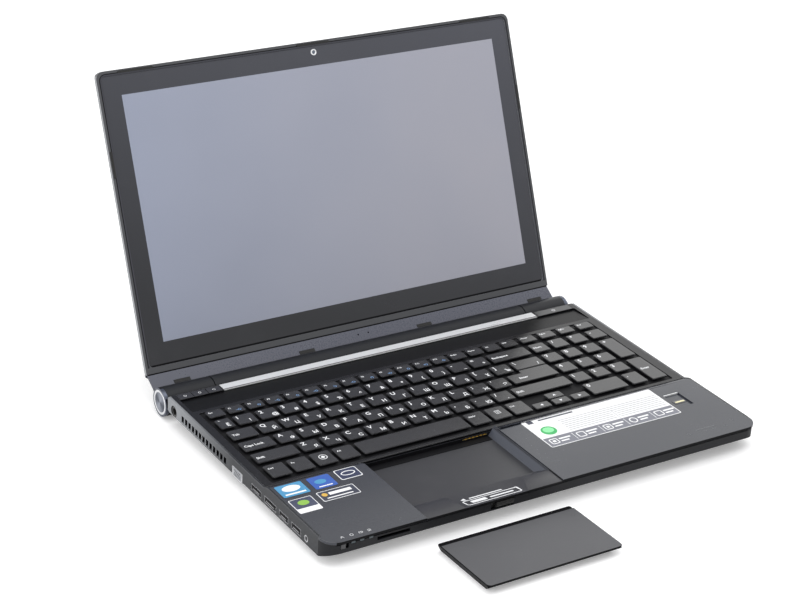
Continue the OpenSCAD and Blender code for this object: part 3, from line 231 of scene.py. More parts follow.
class GroupBuilder:
    """Builds the shader node groups that several finishes share, each of them once."""

    def __init__(self) -> None:
        """Starts with no group built."""
        self.made: dict[str, Tree] = {}

    def get(self, name: str) -> Tree:
        """Gives a group, building it on first use.

        Args:
            name: what follows build_ in the name of its method.

        Returns:
            The group.
        """
        if name not in self.made:
            self.made[name] = getattr(self, "build_" + name)()
        return self.made[name]

    @staticmethod
    def start(name: str, outputs: dict[str, str], inputs: dict[str, object]) -> tuple[Nodes, object]:
        """Makes an empty group with named sockets.

        Args:
            name: the group's name.
            outputs: each output's name and kind.
            inputs: each input's name and default.

        Returns:
            The group's nodes and the outputs of its input node.
        """
        tree = bpy.data.node_groups.new(name, "ShaderNodeTree")
        for label, default in inputs.items():
            kind = {1: "Float", 3: "Vector", 4: "Color"}[len(default) if isinstance(default, tuple) else 1]
            socket = tree.interface.new_socket(name=label, in_out="INPUT", socket_type="NodeSocket" + kind)
            socket.default_value = default
        for label, kind in outputs.items():
            tree.interface.new_socket(name=label, in_out="OUTPUT", socket_type="NodeSocket" + kind)
        return Nodes(tree), tree.nodes.new("NodeGroupInput").outputs

    def build_grain(self) -> Tree:
        """Fine variation of colour, gloss and height, stretched along one way if asked."""
        net, given = self.start(
            "surface_grain", {"Color": "Color", "Roughness": "Float", "Normal": "Vector"},
            {"Color": (0.5, 0.5, 0.5, 1), "Stretch": (1, 1, 1), "Scale": 800.0, "Vary": 0.1, "Roughness": 0.4,
             "Rough Vary": 0.1, "Depth": 0.00002})
        where = net.where()
        placed = net.vector("MULTIPLY", where, given["Stretch"])
        fine = net.new("TexNoise", Vector=placed, Scale=given["Scale"], Detail=3.0, Roughness=0.6)
        fine = fine.outputs["Fac"]
        broad = net.new("TexNoise", Vector=where, Scale=14.0, Detail=2.0).outputs["Fac"]
        drift = net.math("MULTIPLY", net.math("SUBTRACT", broad, 0.5), 0.6)
        both = net.math("ADD", net.math("SUBTRACT", fine, 0.5), drift)
        factor = net.math("ADD", net.math("MULTIPLY", both, given["Vary"]), 1.0)
        rough = net.math("ADD", given["Roughness"], net.math("MULTIPLY", both, given["Rough Vary"]), True)
        bump = net.new("Bump", Distance=given["Depth"], Height=fine)
        return net.finish(Color=net.vector("SCALE", given["Color"], scale=factor), Roughness=rough,
                          Normal=bump.outputs["Normal"])

    def build_dust(self) -> Tree:
        """Sparse pale specks and faint wiped smears over a colour."""
        net, given = self.start(
            "dust_and_smears", {"Color": "Color", "Roughness": "Float"},
            {"Color": (0.5, 0.5, 0.5, 1), "Roughness": 0.4, "Dust": (0.45, 0.45, 0.46, 1), "Amount": 0.3})
        where = net.where()
        specks = net.new("TexVoronoi", Vector=where, Scale=260.0).outputs["Distance"]
        smear = net.new("TexNoise", Vector=where, Scale=32.0, Detail=4.0).outputs["Fac"]
        patch = net.math("SUBTRACT", smear, 0.52, True)
        small, dense = net.math("LESS_THAN", specks, 0.09), net.math("MULTIPLY", patch, 4.0, True)
        sparse = net.math("MULTIPLY", small, dense)
        both = net.math("ADD", sparse, net.math("MULTIPLY", patch, 0.35))
        mask = net.math("MULTIPLY", both, given["Amount"], True)
        rough = net.math("ADD", given["Roughness"], net.math("MULTIPLY", mask, 0.5), True)
        return net.finish(Color=net.mix(mask, given["Color"], given["Dust"]), Roughness=rough)

    def build_dots(self) -> Tree:
        """Mask of round holes on a staggered grid in the X-Y plane."""
        net, given = self.start("hole_grid", {"Mask": "Float"}, {"Pitch": 0.0016, "Radius": 0.3})
        where, masks = net.where(), []
        over = net.math("DIVIDE", 1.0, given["Pitch"])
        for shift in (0.0, 0.5):
            moved = net.vector("ADD", net.vector("SCALE", where, scale=over), (shift, shift, 0))
            centred = net.vector("SUBTRACT", net.vector("FRACTION", moved), (0.5, 0.5, 0))
            length = net.vector("LENGTH", net.vector("MULTIPLY", centred, (1, 1, 0)))
            masks.append(net.math("LESS_THAN", length, given["Radius"]))
        return net.finish(Mask=net.math("MAXIMUM", *masks))

    def build_picture(self) -> Tree:
        """Mask of the visible picture on the screen's glass, and the height on the lid from 0 to 1."""
        net, given = self.start("picture_area", {"Mask": "Float", "Height": "Float"},
                                {"Half Width": 0.1721, "Low": 0.0432, "High": 0.2368})
        where, along = net.where(), LID.to_3x3() @ Vector((0, 1, 0)) / MM
        reach = net.vector("DOT_PRODUCT", net.vector("SUBTRACT", where, LAYOUT.hinge), tuple(along))
        side = net.math("LESS_THAN", net.math("ABSOLUTE", net.split(where)["X"]), given["Half Width"])
        above = net.math("GREATER_THAN", reach, given["Low"])
        inside = net.math("MULTIPLY", above, net.math("LESS_THAN", reach, given["High"]))
        return net.finish(Mask=net.math("MULTIPLY", side, inside), Height=net.math("DIVIDE", reach, 0.26))

    def build_spokes(self) -> Tree:
        """Mask of the painted bright and dark reflection fans on spun metal about the hinge's axis."""
        net, given = self.start("spun_fan_sheen", {"Mask": "Float"}, {"Fans": 2.0})
        place = net.split(net.vector("SUBTRACT", net.where(), LAYOUT.hinge))
        angle = net.math("ARCTAN2", place["Z"], place["Y"])
        turned = net.math("ADD", net.math("MULTIPLY", angle, given["Fans"]), 0.9)
        wave = net.math("MULTIPLY", net.math("SINE", turned), 0.5)
        return net.finish(Mask=net.math("ADD", wave, 0.5, True))

    def build_rear(self) -> Tree:
        """Mask that rises smoothly from one depth of the laptop to another."""
        net, given = self.start("towards_the_back", {"Mask": "Float"}, {"Near": -0.01, "Far": 0.08})
        reach = net.math("SUBTRACT", net.split(net.where())["Y"], given["Near"])
        span = net.math("SUBTRACT", given["Far"], given["Near"])
        return net.finish(Mask=net.math("DIVIDE", reach, span, True))

    def build_mouth(self) -> Tree:
        """Mask of what lies deeper in the side than a given distance from the middle, where the sockets' steel
        takes a painted shade.
        """
        net, given = self.start("socket_depth", {"Mask": "Float"}, {"Edge": 0.1904})
        away = net.math("ABSOLUTE", net.split(net.where())["X"])
        return net.finish(Mask=net.math("LESS_THAN", away, given["Edge"]))


GROUPS = GroupBuilder()


# ---------------------------------------------------------------- finishes


class Extra(Enum):
    """What a finish adds to its plain surface; the value is the name of its mask's group."""

    NONE = ""
    HOLES = "dots"
    PICTURE = "picture"
    MOUTH = "mouth"
    SPUN = "spokes"
    REAR = "rear"


@dataclass(frozen=True)
class Finish:
    """One surface: its colour, gloss, grain and dust."""

    name: str
    color: Color
    roughness: float = 0.45
    metallic: float = 0.0
    specular: float = 0.5
    coat: float = 0.0
    grain_scale: float = 900.0
    stretch: Point3 = (1.0, 1.0, 1.0)
    vary: float = 0.12
    rough_vary: float = 0.12
    depth: float = 0.00002
    dust: float = 0.0
    extra: Extra = Extra.NONE
    second: Color = (0.02, 0.02, 0.02)

    def build(self) -> bpy.types.Material:
        """Returns the material of this finish, making it on first use."""
        found = bpy.data.materials.get(self.name)
        if found:
            return found
        material = bpy.data.materials.new(self.name)
        material.use_nodes = True
        net = Nodes(material.node_tree)
        grain = net.group("grain", Color=(*self.color, 1), Stretch=self.stretch, Scale=self.grain_scale,
                          Vary=self.vary, Roughness=self.roughness, Rough_Vary=self.rough_vary,
                          Depth=self.depth).outputs
        color, rough = grain["Color"], grain["Roughness"]
        if self.extra is not Extra.NONE:
            color = self.patterned(net, color)
        if self.dust > 0:
            dust = net.group("dust", Amount=self.dust, Color=color, Roughness=rough).outputs
            color, rough = dust["Color"], dust["Roughness"]
        net.fill(net.tree.nodes["Principled BSDF"], Metallic=self.metallic, Specular_IOR_Level=self.specular,
                 Coat_Weight=self.coat, Coat_Roughness=0.08, Normal=grain["Normal"], Base_Color=color,
                 Roughness=rough)
        return material

    def patterned(self, net: Nodes, color: object) -> object:
        """Mixes in the second colour where this finish's mask says so.

        Args:
            net: the material's nodes.
            color: the colour socket so far.

        Returns:
            The colour socket.
        """
        mask, over = net.group(self.extra.value).outputs, (*self.second, 1)
        if self.extra is Extra.PICTURE:
            color, over = self.border(net, color, mask["Height"]), self.cloudy_with_sheen(net, mask["Height"])
        return net.mix(mask["Mask"], color, over)

    @staticmethod
    def across(net: Nodes) -> object:
        """Returns a socket that rises from 0 at the left of the lid to 1 at its right."""
        return net.math("ADD", net.math("MULTIPLY", net.split(net.where())["X"], 2.7), 0.5, True)

    def border(self, net: Nodes, color: object, height: object) -> object:
        """Lays a painted reflection over the glass's black border, which grows upwards and to the right.

        Args:
            net: the material's nodes.
            color: the colour socket so far.
            height: socket with the height on the lid, from 0 to 1.

        Returns:
            The colour socket.
        """
        side = net.math("MULTIPLY", self.across(net), 0.35)
        border_sheen = net.math("SUBTRACT", net.math("ADD", net.math("MULTIPLY", height, 0.8), side), 0.25, True)
        return net.mix(border_sheen, color, (*GLASS_SHEEN, 1))

    def cloudy_with_sheen(self, net: Nodes, height: object) -> object:
        """Makes the soft uneven colour of the switched-off panel, with a painted reflection that makes it paler
        towards its top and lighter grey towards its right.

        Args:
            net: the material's nodes.
            height: socket with the height on the lid, from 0 to 1.

        Returns:
            The colour socket.
        """
        cloud = net.new("TexNoise", Vector=net.where(), Scale=7.0, Detail=2.0).outputs["Fac"]
        lift = net.math("MULTIPLY", net.math("SUBTRACT", cloud, 0.5), 0.25)
        slope = net.math("MULTIPLY", net.math("SUBTRACT", height, 0.5), 0.12)
        factor = net.math("ADD", net.math("ADD", lift, slope), 1.0)
        right_sheen = net.math("MULTIPLY", self.across(net), net.math("ADD", cloud, 0.35))
        return net.mix(right_sheen, net.vector("SCALE", self.second, scale=factor), (*PANEL_SHEEN, 1))


BRUSH_X = (0.06, 1.0, 1.0)
BRUSH_Y = (1.0, 0.06, 1.0)
# Colour of the painted reflection that lies over the glass's black border.
GLASS_SHEEN = (0.062, 0.065, 0.082)
# Paler grey of the painted reflection towards the right of the screen's picture area.
PANEL_SHEEN = (0.345, 0.342, 0.388)

CASE = Finish("case_black_plastic", (0.009, 0.0095, 0.0115), 0.5, specular=0.24, grain_scale=1500, dust=0.14)
SIDE_GREY = Finish("side_grey_paint", (0.02, 0.0215, 0.025), 0.36, specular=0.3, metallic=0.1, vary=0.08,
                   extra=Extra.REAR, second=(0.24, 0.25, 0.265))
# Pale rounded edges of the side frames: a painted highlight.
SIDE_EDGE_HIGHLIGHT = Finish("side_edge_painted_highlight", (0.5, 0.51, 0.53), 0.25, metallic=0.7, vary=0.06)
PALM_METAL = Finish("palm_dark_brushed", (0.027, 0.03, 0.04), 0.24, specular=0.55, stretch=BRUSH_X,
                    grain_scale=2200, vary=0.14, rough_vary=0.1, depth=0.000004, dust=0.15)
# Paler rounded edges of the palm rests: a painted highlight.
PALM_EDGE_HIGHLIGHT = Finish("palm_edge_painted_highlight", (0.06, 0.063, 0.072), 0.3, metallic=0.3, vary=0.05)
# Black for seams and dark joints, and also put where there is only shade: painted shade on the side frames' vent
# walls, at the back of the bay's floor and in the socket mouths.
SEAM_AND_SHADE = Finish("black_seam_and_shade", (0.004, 0.004, 0.005), 0.55, specular=0.1)
BAY = Finish("bay_dark_satin", (0.019, 0.0195, 0.024), 0.34, stretch=BRUSH_X, grain_scale=2000, vary=0.12,
             depth=0.000005, dust=0.15)
DECK = Finish("deck_black_gloss", (0.003, 0.003, 0.004), 0.22, specular=0.3, vary=0.1, dust=0.02)
# Paler rounded edges of the deck and the speaker panel: a painted highlight.
DECK_EDGE_HIGHLIGHT = Finish("deck_edge_painted_highlight", (0.07, 0.07, 0.075), 0.3)
KEY_PLATE = Finish("key_bed_black", (0.005, 0.005, 0.006), 0.55, specular=0.15)
KEY_SIDE = Finish("key_side_black", (0.006, 0.006, 0.007), 0.4, specular=0.25)
KEYS = Finish("key_black_satin", (0.008, 0.008, 0.009), 0.24, specular=0.78, grain_scale=2600, vary=0.15,
              depth=0.00003, dust=0.12)
# Paler rounded edges of the keys: partly wear, partly a painted highlight.
KEY_EDGE_WEAR_AND_HIGHLIGHT = Finish("key_edge_wear_and_highlight", (0.05, 0.05, 0.056), 0.3, grain_scale=2600)
LEGEND = Finish("legend_white_ink", (0.85, 0.86, 0.88), 0.5, vary=0.05, depth=0.0)
LEGEND_BLUE = Finish("legend_blue_ink", (0.2, 0.38, 0.7), 0.5, vary=0.05, depth=0.0)
GRILLE = Finish("speaker_grille", (0.006, 0.006, 0.007), 0.34, specular=0.12, vary=0.1, extra=Extra.HOLES,
                second=(0.002, 0.002, 0.002))
STRIP = Finish("trim_strip_silver", (0.78, 0.79, 0.8), 0.3, metallic=0.35, stretch=BRUSH_X, vary=0.08)
BUTTON = Finish("button_black", (0.008, 0.008, 0.009), 0.3, specular=0.2)
BUTTON_GREY = Finish("button_grey", (0.02, 0.02, 0.022), 0.35, specular=0.3)
POWER = Finish("power_button_grey", (0.035, 0.036, 0.038), 0.3, specular=0.5)
GOLD = Finish("contact_gold", (0.06, 0.04, 0.022), 0.35, metallic=1.0)
BAR = Finish("reader_bar_pale", (0.75, 0.7, 0.45), 0.25, metallic=0.6)
# Black for the bay's rear wall, which looks forwards under the deck: painted shade.
BAY_WALL_SHADE = Finish("bay_rear_wall_painted_shade", (0.004, 0.004, 0.005), 0.5, specular=0.15)
LATCH = Finish("latch_black", (0.006, 0.006, 0.007), 0.45, specular=0.12)
RUBBER = Finish("rubber_black", (0.007, 0.007, 0.007), 0.75, specular=0.12, grain_scale=2200, depth=0.00004)
SCREW = Finish("screw_black", (0.06, 0.06, 0.062), 0.35, metallic=0.8)
# Socket steel, which turns dark deeper inside the side than its face: painted shade in the sockets.
SOCKET = Finish("socket_steel", (0.3, 0.31, 0.33), 0.3, metallic=0.8, extra=Extra.MOUTH,
                second=(0.012, 0.012, 0.014))
JACK = Finish("jack_black", (0.012, 0.012, 0.012), 0.4, specular=0.3)
TONGUE = Finish("socket_tongue_grey", (0.3, 0.3, 0.31), 0.4)
MONITOR = Finish("monitor_socket_pale", (0.33, 0.34, 0.36), 0.4)
READER = Finish("reader_grey", (0.03, 0.03, 0.033), 0.2, coat=0.6)
LENS = Finish("status_lens", (0.06, 0.08, 0.09), 0.2, vary=0.05)
BARREL = Finish("barrel_dark_satin", (0.013, 0.014, 0.017), 0.34, specular=0.22, vary=0.1)
RING_SIDE = Finish("ring_dark_side", (0.1, 0.11, 0.14), 0.2, metallic=1.0, vary=0.05, depth=0.0)
# Much paler finish for the rim's faces that look left and right: a painted sheen.
RIM_SIDE_SHEEN = Finish("rim_side_painted_sheen", (0.3, 0.31, 0.33), 0.3, metallic=0.3, vary=0.08)
# Paler finish for the bay's sloped wall that looks left: painted light.
BAY_SLOPE_LIT = Finish("bay_slope_painted_light", (0.058, 0.064, 0.082), 0.3, stretch=BRUSH_Y, grain_scale=1600, vary=0.2)
# Dark grey line along the trim strip's front edge: painted shade.
STRIP_SHADE = Finish("strip_painted_shade", (0.1, 0.1, 0.105), 0.35, vary=0.1)
CHROME = Finish("ring_chrome", (0.78, 0.79, 0.81), 0.08, metallic=1.0, vary=0.03, rough_vary=0.04, depth=0.0)
# Spun disc of the hinge rings, whose bright and dark fans about the axis are a painted reflection.
SPUN = Finish("ring_spun_metal", (0.3, 0.32, 0.37), 0.22, metallic=1.0, vary=0.1, extra=Extra.SPUN,
              second=(0.05, 0.06, 0.085))
STEEL = Finish("hinge_steel", (0.4, 0.4, 0.41), 0.4, metallic=1.0, stretch=BRUSH_X)
LID_BACK = Finish("lid_dark_lacquer", (0.03, 0.031, 0.036), 0.3, coat=0.5, stretch=BRUSH_X, grain_scale=1200,
                  vary=0.2, dust=0.1)
RIM = Finish("rim_grey_satin", (0.055, 0.057, 0.063), 0.36, vary=0.1)
# Paler rounded edges of the lid's rim: a painted highlight.
RIM_EDGE_HIGHLIGHT = Finish("rim_edge_painted_highlight", (0.16, 0.165, 0.18), 0.3, metallic=0.4, vary=0.05)
BAND = Finish("band_blue_grey", (0.058, 0.062, 0.086), 0.28, vary=0.06, dust=0.03)
GLASS = Finish("screen_glass_off", (0.008, 0.009, 0.013), 0.06, vary=0.05, rough_vary=0.02, depth=0.0,
               extra=Extra.PICTURE, second=(0.262, 0.288, 0.372), dust=0.12)
CAMERA_BODY = Finish("camera_black", (0.008, 0.008, 0.009), 0.1, coat=1.0, depth=0.0)
BORDER = Finish("glass_border_black", (0.03, 0.031, 0.042), 0.1, vary=0.05, depth=0.0)
LENS_GLASS = Finish("camera_lens_coated", (0.05, 0.07, 0.11), 0.05, coat=1.0, depth=0.0)
PAD_METAL = Finish("pad_dark_brushed", (0.066, 0.067, 0.074), 0.36, metallic=0.1, stretch=BRUSH_X,
                   grain_scale=1400, vary=0.3, dust=0.15)
PAD_BLACK = Finish("pad_black_gloss", (0.004, 0.004, 0.005), 0.4, specular=0.06)
BOARD = Finish("circuit_green", (0.01, 0.09, 0.035), 0.4, vary=0.4, grain_scale=500)
COPPER = Finish("copper_pipe", (0.6, 0.27, 0.14), 0.3, metallic=1.0)
INNER = Finish("inner_plastic", (0.05, 0.05, 0.054), 0.55)
CAST = Finish("drive_cast_metal", (0.5, 0.5, 0.51), 0.4, metallic=0.9)
BATTERY = Finish("battery_black", (0.02, 0.02, 0.022), 0.5, grain_scale=1500)
WHITE = Finish("label_white", (0.9, 0.905, 0.915), 0.35, vary=0.04, depth=0.0)
PALE = Finish("label_grey_band", (0.17, 0.175, 0.21), 0.35, vary=0.05, depth=0.0)
INK = Finish("label_ink", (0.03, 0.035, 0.06), 0.4, vary=0.05, depth=0.0)
RULES = Finish("label_rules", (0.3, 0.31, 0.34), 0.4, vary=0.05, depth=0.0)
FAINT = Finish("faint_grey_print", (0.075, 0.08, 0.09), 0.4, vary=0.05, depth=0.0)
GREEN = Finish("label_green", (0.02, 0.42, 0.1), 0.35, vary=0.06, depth=0.0)
CYAN = Finish("sticker_cyan", (0.06, 0.3, 0.55), 0.22, vary=0.2, depth=0.0, coat=0.6)
BLUE = Finish("sticker_blue", (0.02, 0.1, 0.45), 0.22, vary=0.3, depth=0.0, coat=0.6)
NAVY = Finish("sticker_navy", (0.01, 0.02, 0.07), 0.22, vary=0.2, depth=0.0, coat=0.6)
LIME = Finish("sticker_lime", (0.25, 0.5, 0.05), 0.25, vary=0.1, depth=0.0, coat=0.4)
LIME_PALE = Finish("label_green_light", (0.25, 0.75, 0.35), 0.3, vary=0.1, depth=0.0)
AMBER = Finish("sticker_amber", (0.7, 0.42, 0.05), 0.25, vary=0.1, depth=0.0, coat=0.4)

# ---------------------------------------------------------------- making meshes


@dataclass(frozen=True)
class Facing:
    """Faces of a piece that look one way and take a finish of their own."""

    finish: Finish
    toward: Point3
    above: float = 0.7
    sideways: bool = False

    def takes(self, normal: Vector) -> bool:
        """Tells whether a face with this normal, in the palm frame, is one of them."""
        reach = normal.dot(Vector(self.toward))
        return abs(reach) < self.above if self.sideways else reach > self.above


@dataclass(frozen=True)
class Workshop:
    """Makes meshes and pieces and rides each piece on its body.

    Points closer than join, in metres, become one. Edges that turn by less than flat, in
    degrees, are taken out, and those that turn by more than sharp are rounded.
    """

    join: float = 2e-6
    flat: float = 0.6
    sharp: float = 32.0

    def add(self, name: str, mesh: Mesh, finishes: Sequence[Finish], body: str, replaces: Sequence[str] = (),
            slot: Optional[str] = None) -> None:
        """Puts a mesh into the scene as a piece of the laptop.

        Args:
            name: the piece's name.
            mesh: its mesh, in the model's metres.
            finishes: one finish per material slot of the mesh.
            body: the moving body it rides on.
            replaces: the model's nodes that it stands for.
            slot: the record's material slot; not used.
        """
        picked = [face.material_index for face in mesh.polygons]
        mesh.materials.clear()
        for finish in finishes:
            mesh.materials.append(finish.build())
        mesh.polygons.foreach_set("material_index", picked)
        piece = bpy.data.objects.new(name, mesh)
        bpy.context.scene.collection.objects.link(piece)
        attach(piece, body)
        if replaces:
            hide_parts(*replaces)
        log.info("%s: %d faces on %s", name, len(mesh.polygons), body)

    def copy(self, node: str) -> bmesh.types.BMesh:
        """Copies a node's mesh and joins its doubled points.

        Args:
            node: the model's node.

        Returns:
            The copy, which the caller frees.
        """
        bm = bmesh.new()
        bm.from_mesh(frame["nodes"][node].data)
        bmesh.ops.remove_doubles(bm, verts=bm.verts, dist=self.join)
        return bm

    def rounded(self, node: str, width: float, segments: int) -> Mesh:
        """Copies a node's mesh with its sharp edges rounded.

        Args:
            node: the model's node.
            width: width of the rounding, in millimetres.
            segments: facets of each rounding.

        Returns:
            A new mesh whose rounded edges have material index 1.
        """
        mesh, bm = bpy.data.meshes.new(node + "_rounded"), self.copy(node)
        bmesh.ops.dissolve_limit(bm, angle_limit=math.radians(self.flat), verts=bm.verts, edges=bm.edges)
        bmesh.ops.dissolve_degenerate(bm, edges=bm.edges, dist=1e-6)
        for face in bm.faces:
            face.material_index = 0
            face.smooth = True
        bm.to_mesh(mesh)
        bm.free()
        mesh.materials.append(None)
        mesh.materials.append(None)
        holder = bpy.data.objects.new(node + "_holder", mesh)
        bpy.context.scene.collection.objects.link(holder)
        bevel = holder.modifiers.new("round", "BEVEL")
        bevel.width = width * MM
        bevel.segments = segments
        bevel.limit_method = "ANGLE"
        bevel.angle_limit = math.radians(self.sharp)
        bevel.material = 1
        bevel.use_clamp_overlap = True
        bevel.harden_normals = False
        holder.modifiers.new("even", "WEIGHTED_NORMAL").keep_sharp = True
        graph = bpy.context.evaluated_depsgraph_get()
        made = bpy.data.meshes.new_from_object(holder.evaluated_get(graph))
        bpy.data.objects.remove(holder)
        return made

    def dress(self, node: str, finish: Finish, edge: Optional[Finish] = None, width: float = 0.2,
              segments: int = 2, facing: Sequence[Facing] = (), base: Matrix = PALM) -> None:
        """Replaces a node by its rounded copy with a finish of its own.

        Args:
            node: the model's node.
            finish: the surface's finish.
            edge: the rounded edges' finish, or None for the same.
            width: width of the rounding, in millimetres.
            segments: facets of each rounding.
            facing: finishes for the faces that look certain ways.
            base: the frame in which they look.
        """
        mesh = self.rounded(node, width, segments)
        turn = base.to_3x3().inverted()
        for face in mesh.polygons:
            normal = (turn @ face.normal).normalized()
            for index, kind in enumerate(facing):
                if kind.takes(normal):
                    face.material_index = 2 + index
        body = next(b for b, nodes in frame["record"]["behaviour"]["bodies"].items() if node in nodes)
        slot = next(s["material_slot"] for s in frame["record"]["subparts"] if s["node"] == node)
        finishes = [finish, edge or finish, *(kind.finish for kind in facing)]
        self.add(node + "_shown", mesh, finishes, body, [node], slot)

    @staticmethod
    def paint(**finishes: Finish) -> None:
        """Gives nodes that keep their own mesh a finish each.

        Args:
            finishes: each node's finish.
        """
        for node, finish in finishes.items():
            data = frame["nodes"][node].data
            data.materials.clear()
            data.materials.append(finish.build())

    def islands(self, node: str) -> list[tuple[Vector, Vector]]:
        """Finds the separate solids of a node on the base.

        Args:
            node: the model's node.

        Returns:
            The lowest and highest corner of each, in the palm frame, in millimetres.
        """
        bm, back = self.copy(node), PALM.inverted()
        seen: set[int] = set()
        found = []
        for vert in bm.verts:
            if vert.index in seen:
                continue
            stack, points = [vert], []
            seen.add(vert.index)
            while stack:
                here = stack.pop()
                points.append(back @ here.co)
                for other in (edge.other_vert(here) for edge in here.link_edges):
                    if other.index not in seen:
                        seen.add(other.index)
                        stack.append(other)
            found.append(tuple(Vector([pick(p[i] for p in points) for i in range(3)])
                               for pick in (min, max)))
        bm.free()
        return sorted(found, key=lambda b: (round(b[0].y), b[0].x))

    @staticmethod
    def from_lists(name: str, verts: Sequence[Point3], faces: Sequence[Sequence[int]],
                   matrix: Matrix) -> Mesh:
        """Makes a mesh from points given in a working frame.

        Args:
            name: the mesh's name.
            verts: its points.
            faces: its faces, as indices.
            matrix: from the working frame to the model.

        Returns:
            The mesh.
        """
        mesh = bpy.data.meshes.new(name)
        mesh.from_pydata([tuple(matrix @ Vector(v)) for v in verts], [], faces)
        mesh.validate()
        return mesh

    def turned(self, name: str, profile: Outline, turns: int, place: Matrix, finish: Finish,
               slot: str) -> None:
        """Adds a piece of the lid that is turned about its own Z axis.

        Args:
            name: the piece's name.
            profile: (radius, height) points.
            turns: facets around.
            place: from the piece's frame to the lid's.
            finish: its finish.
            slot: the record's material slot, handed on to Workshop.add.
        """
        angles = [2 * math.pi * k / turns for k in range(turns)]
        verts = [tuple(place @ Vector((r * math.cos(a), r * math.sin(a), h)))
                 for r, h in profile for a in angles]
        faces = []
        for row in range(0, turns * (len(profile) - 1), turns):
            for k in range(turns):
                a, b = row + k, row + (k + 1) % turns
                faces.append((a, b, b + turns, a + turns))
        mesh = self.from_lists(name, verts, faces, LID)
        mesh.shade_smooth()
        self.add(name, mesh, [finish], "lid", (), slot)


SHOP = Workshop()


# ---------------------------------------------------------------- printed things


def rect(x0: float, y0: float, x1: float, y1: float) -> list[Point2]:
    """Returns the four corners of a rectangle."""
    return [(x0, y0), (x1, y0), (x1, y1), (x0, y1)]


def arc(cx: float, cy: float, rx: float, ry: float, degrees: Sequence[float]) -> list[Point2]:
    """Returns the points of an ellipse about (cx, cy) at the given angles."""
    return [(cx + rx * math.cos(math.radians(a)), cy + ry * math.sin(math.radians(a))) for a in degrees]


def ellipse(cx: float, cy: float, rx: float, ry: float, n: int = 32) -> list[Point2]:
    """Returns an ellipse of n points."""
    return arc(cx, cy, rx, ry, [360 * i / n for i in range(n)])


def round_rect(x0: float, y0: float, x1: float, y1: float, r: float, n: int = 4) -> list[Point2]:
    """Returns a rectangle with rounded corners of radius r, n facets each."""
    corners = [(x1 - r, y0 + r, -90), (x1 - r, y1 - r, 0), (x0 + r, y1 - r, 90), (x0 + r, y0 + r, 180)]
    return [p for cx, cy, a in corners for p in arc(cx, cy, r, r, [a + 90 * i / n for i in range(n + 1)])]


def stroke(a: Point2, b: Point2, w: float) -> list[Point2]:
    """Returns a straight line from a to b of width w, as a rectangle."""
    dx, dy = b[0] - a[0], b[1] - a[1]
    size = math.hypot(dx, dy) or 1.0
    ox, oy = -dy / size * w / 2, dx / size * w / 2
    return [(a[0] - ox, a[1] - oy), (b[0] - ox, b[1] - oy), (b[0] + ox, b[1] + oy), (a[0] + ox, a[1] + oy)]


def path_lines(points: Outline, w: float) -> list[list[Point2]]:
    """Returns the open path through points as strokes of width w."""
    return [stroke(a, b, w) for a, b in zip(points, points[1:])]


def frame_lines(points: Outline, w: float) -> list[list[Point2]]:
    """Returns the closed outline through points as strokes of width w."""
    return path_lines([*points, points[0]], w)


def level(height: float) -> Callable[[float, float], float]:
    """Returns the height function of a level surface."""
    return lambda x, y: height


@dataclass
class Print:
    """Flat ink, a thin label or a sheet of painted shade on a surface of the base or the lid."""

    name: str
    finish: Finish
    body: str = "chassis"
    matrix: Matrix = field(default_factory=lambda: PALM)
    height: Callable[[float, float], float] = level(0.0)
    lift: float = 0.02
    thick: float = 0.0
    verts: list = field(default_factory=list)
    faces: list = field(default_factory=list)

    def shape(self, *outlines: Outline) -> "Print":
        """Adds filled shapes, with side walls if the print has a thickness.

        Args:
            outlines: the corners of each shape, in order.

        Returns:
            The print itself.
        """
        for outline in outlines:
            base, n = len(self.verts), len(outline)
            self.verts += [(x, y, self.height(x, y) + (self.lift + self.thick)) for x, y in outline]
            self.faces.append(list(range(base, base + n)))
            if self.thick > 0:
                self.verts += [(x, y, self.height(x, y) + self.lift) for x, y in outline]
                for i in range(n):
                    j = (i + 1) % n
                    self.faces.append([base + n + i, base + n + j, base + j, base + i])
        return self

    def words(self, text: str, x: float, y: float, size: float) -> None:
        """Adds a line of characters.

        Args:
            text: the characters.
            x: left edge.
            y: base line.
            size: height of the type, in millimetres.
        """
        verts, faces = glyphs(text)
        base = len(self.verts)
        left = min((v[0] for v in verts), default=0.0)
        for vx, vy in verts:
            px, py = x + (vx - left) * size, y + vy * size
            self.verts.append((px, py, self.height(px, py) + self.lift + self.thick))
        self.faces += [[base + i for i in f] for f in faces]

    def make(self, slot: Optional[str] = None) -> None:
        """Puts the print into the scene.

        Args:
            slot: the record's material slot, or None, handed on to Workshop.add.
        """
        mesh = SHOP.from_lists(self.name, self.verts, self.faces, self.matrix)
        SHOP.add(self.name, mesh, [self.finish], self.body, (), slot)


GLYPHS: dict[str, tuple[list[Point2], list[list[int]]]] = {}


def glyphs(text: str) -> tuple[list[Point2], list[list[int]]]:
    """Gives a line of characters as flat faces, at a type size of 1.

    Args:
        text: the characters.

    Returns:
        The points and the faces.
    """
    if text not in GLYPHS:
        curve = bpy.data.curves.new("type", "FONT")
        curve.body = text
        curve.size = 1.0
        curve.resolution_u = 3
        curve.offset = 0.022
        curve.fill_mode = "FRONT"
        holder = bpy.data.objects.new("type", curve)
        bpy.context.scene.collection.objects.link(holder)
        mesh = holder.to_mesh()
        GLYPHS[text] = ([(v.co.x, v.co.y) for v in mesh.vertices], [list(p.vertices) for p in mesh.polygons])
        holder.to_mesh_clear()
        bpy.data.objects.remove(holder)
        bpy.data.curves.remove(curve)
    return GLYPHS[text]


# ---------------------------------------------------------------- the laptop's parts


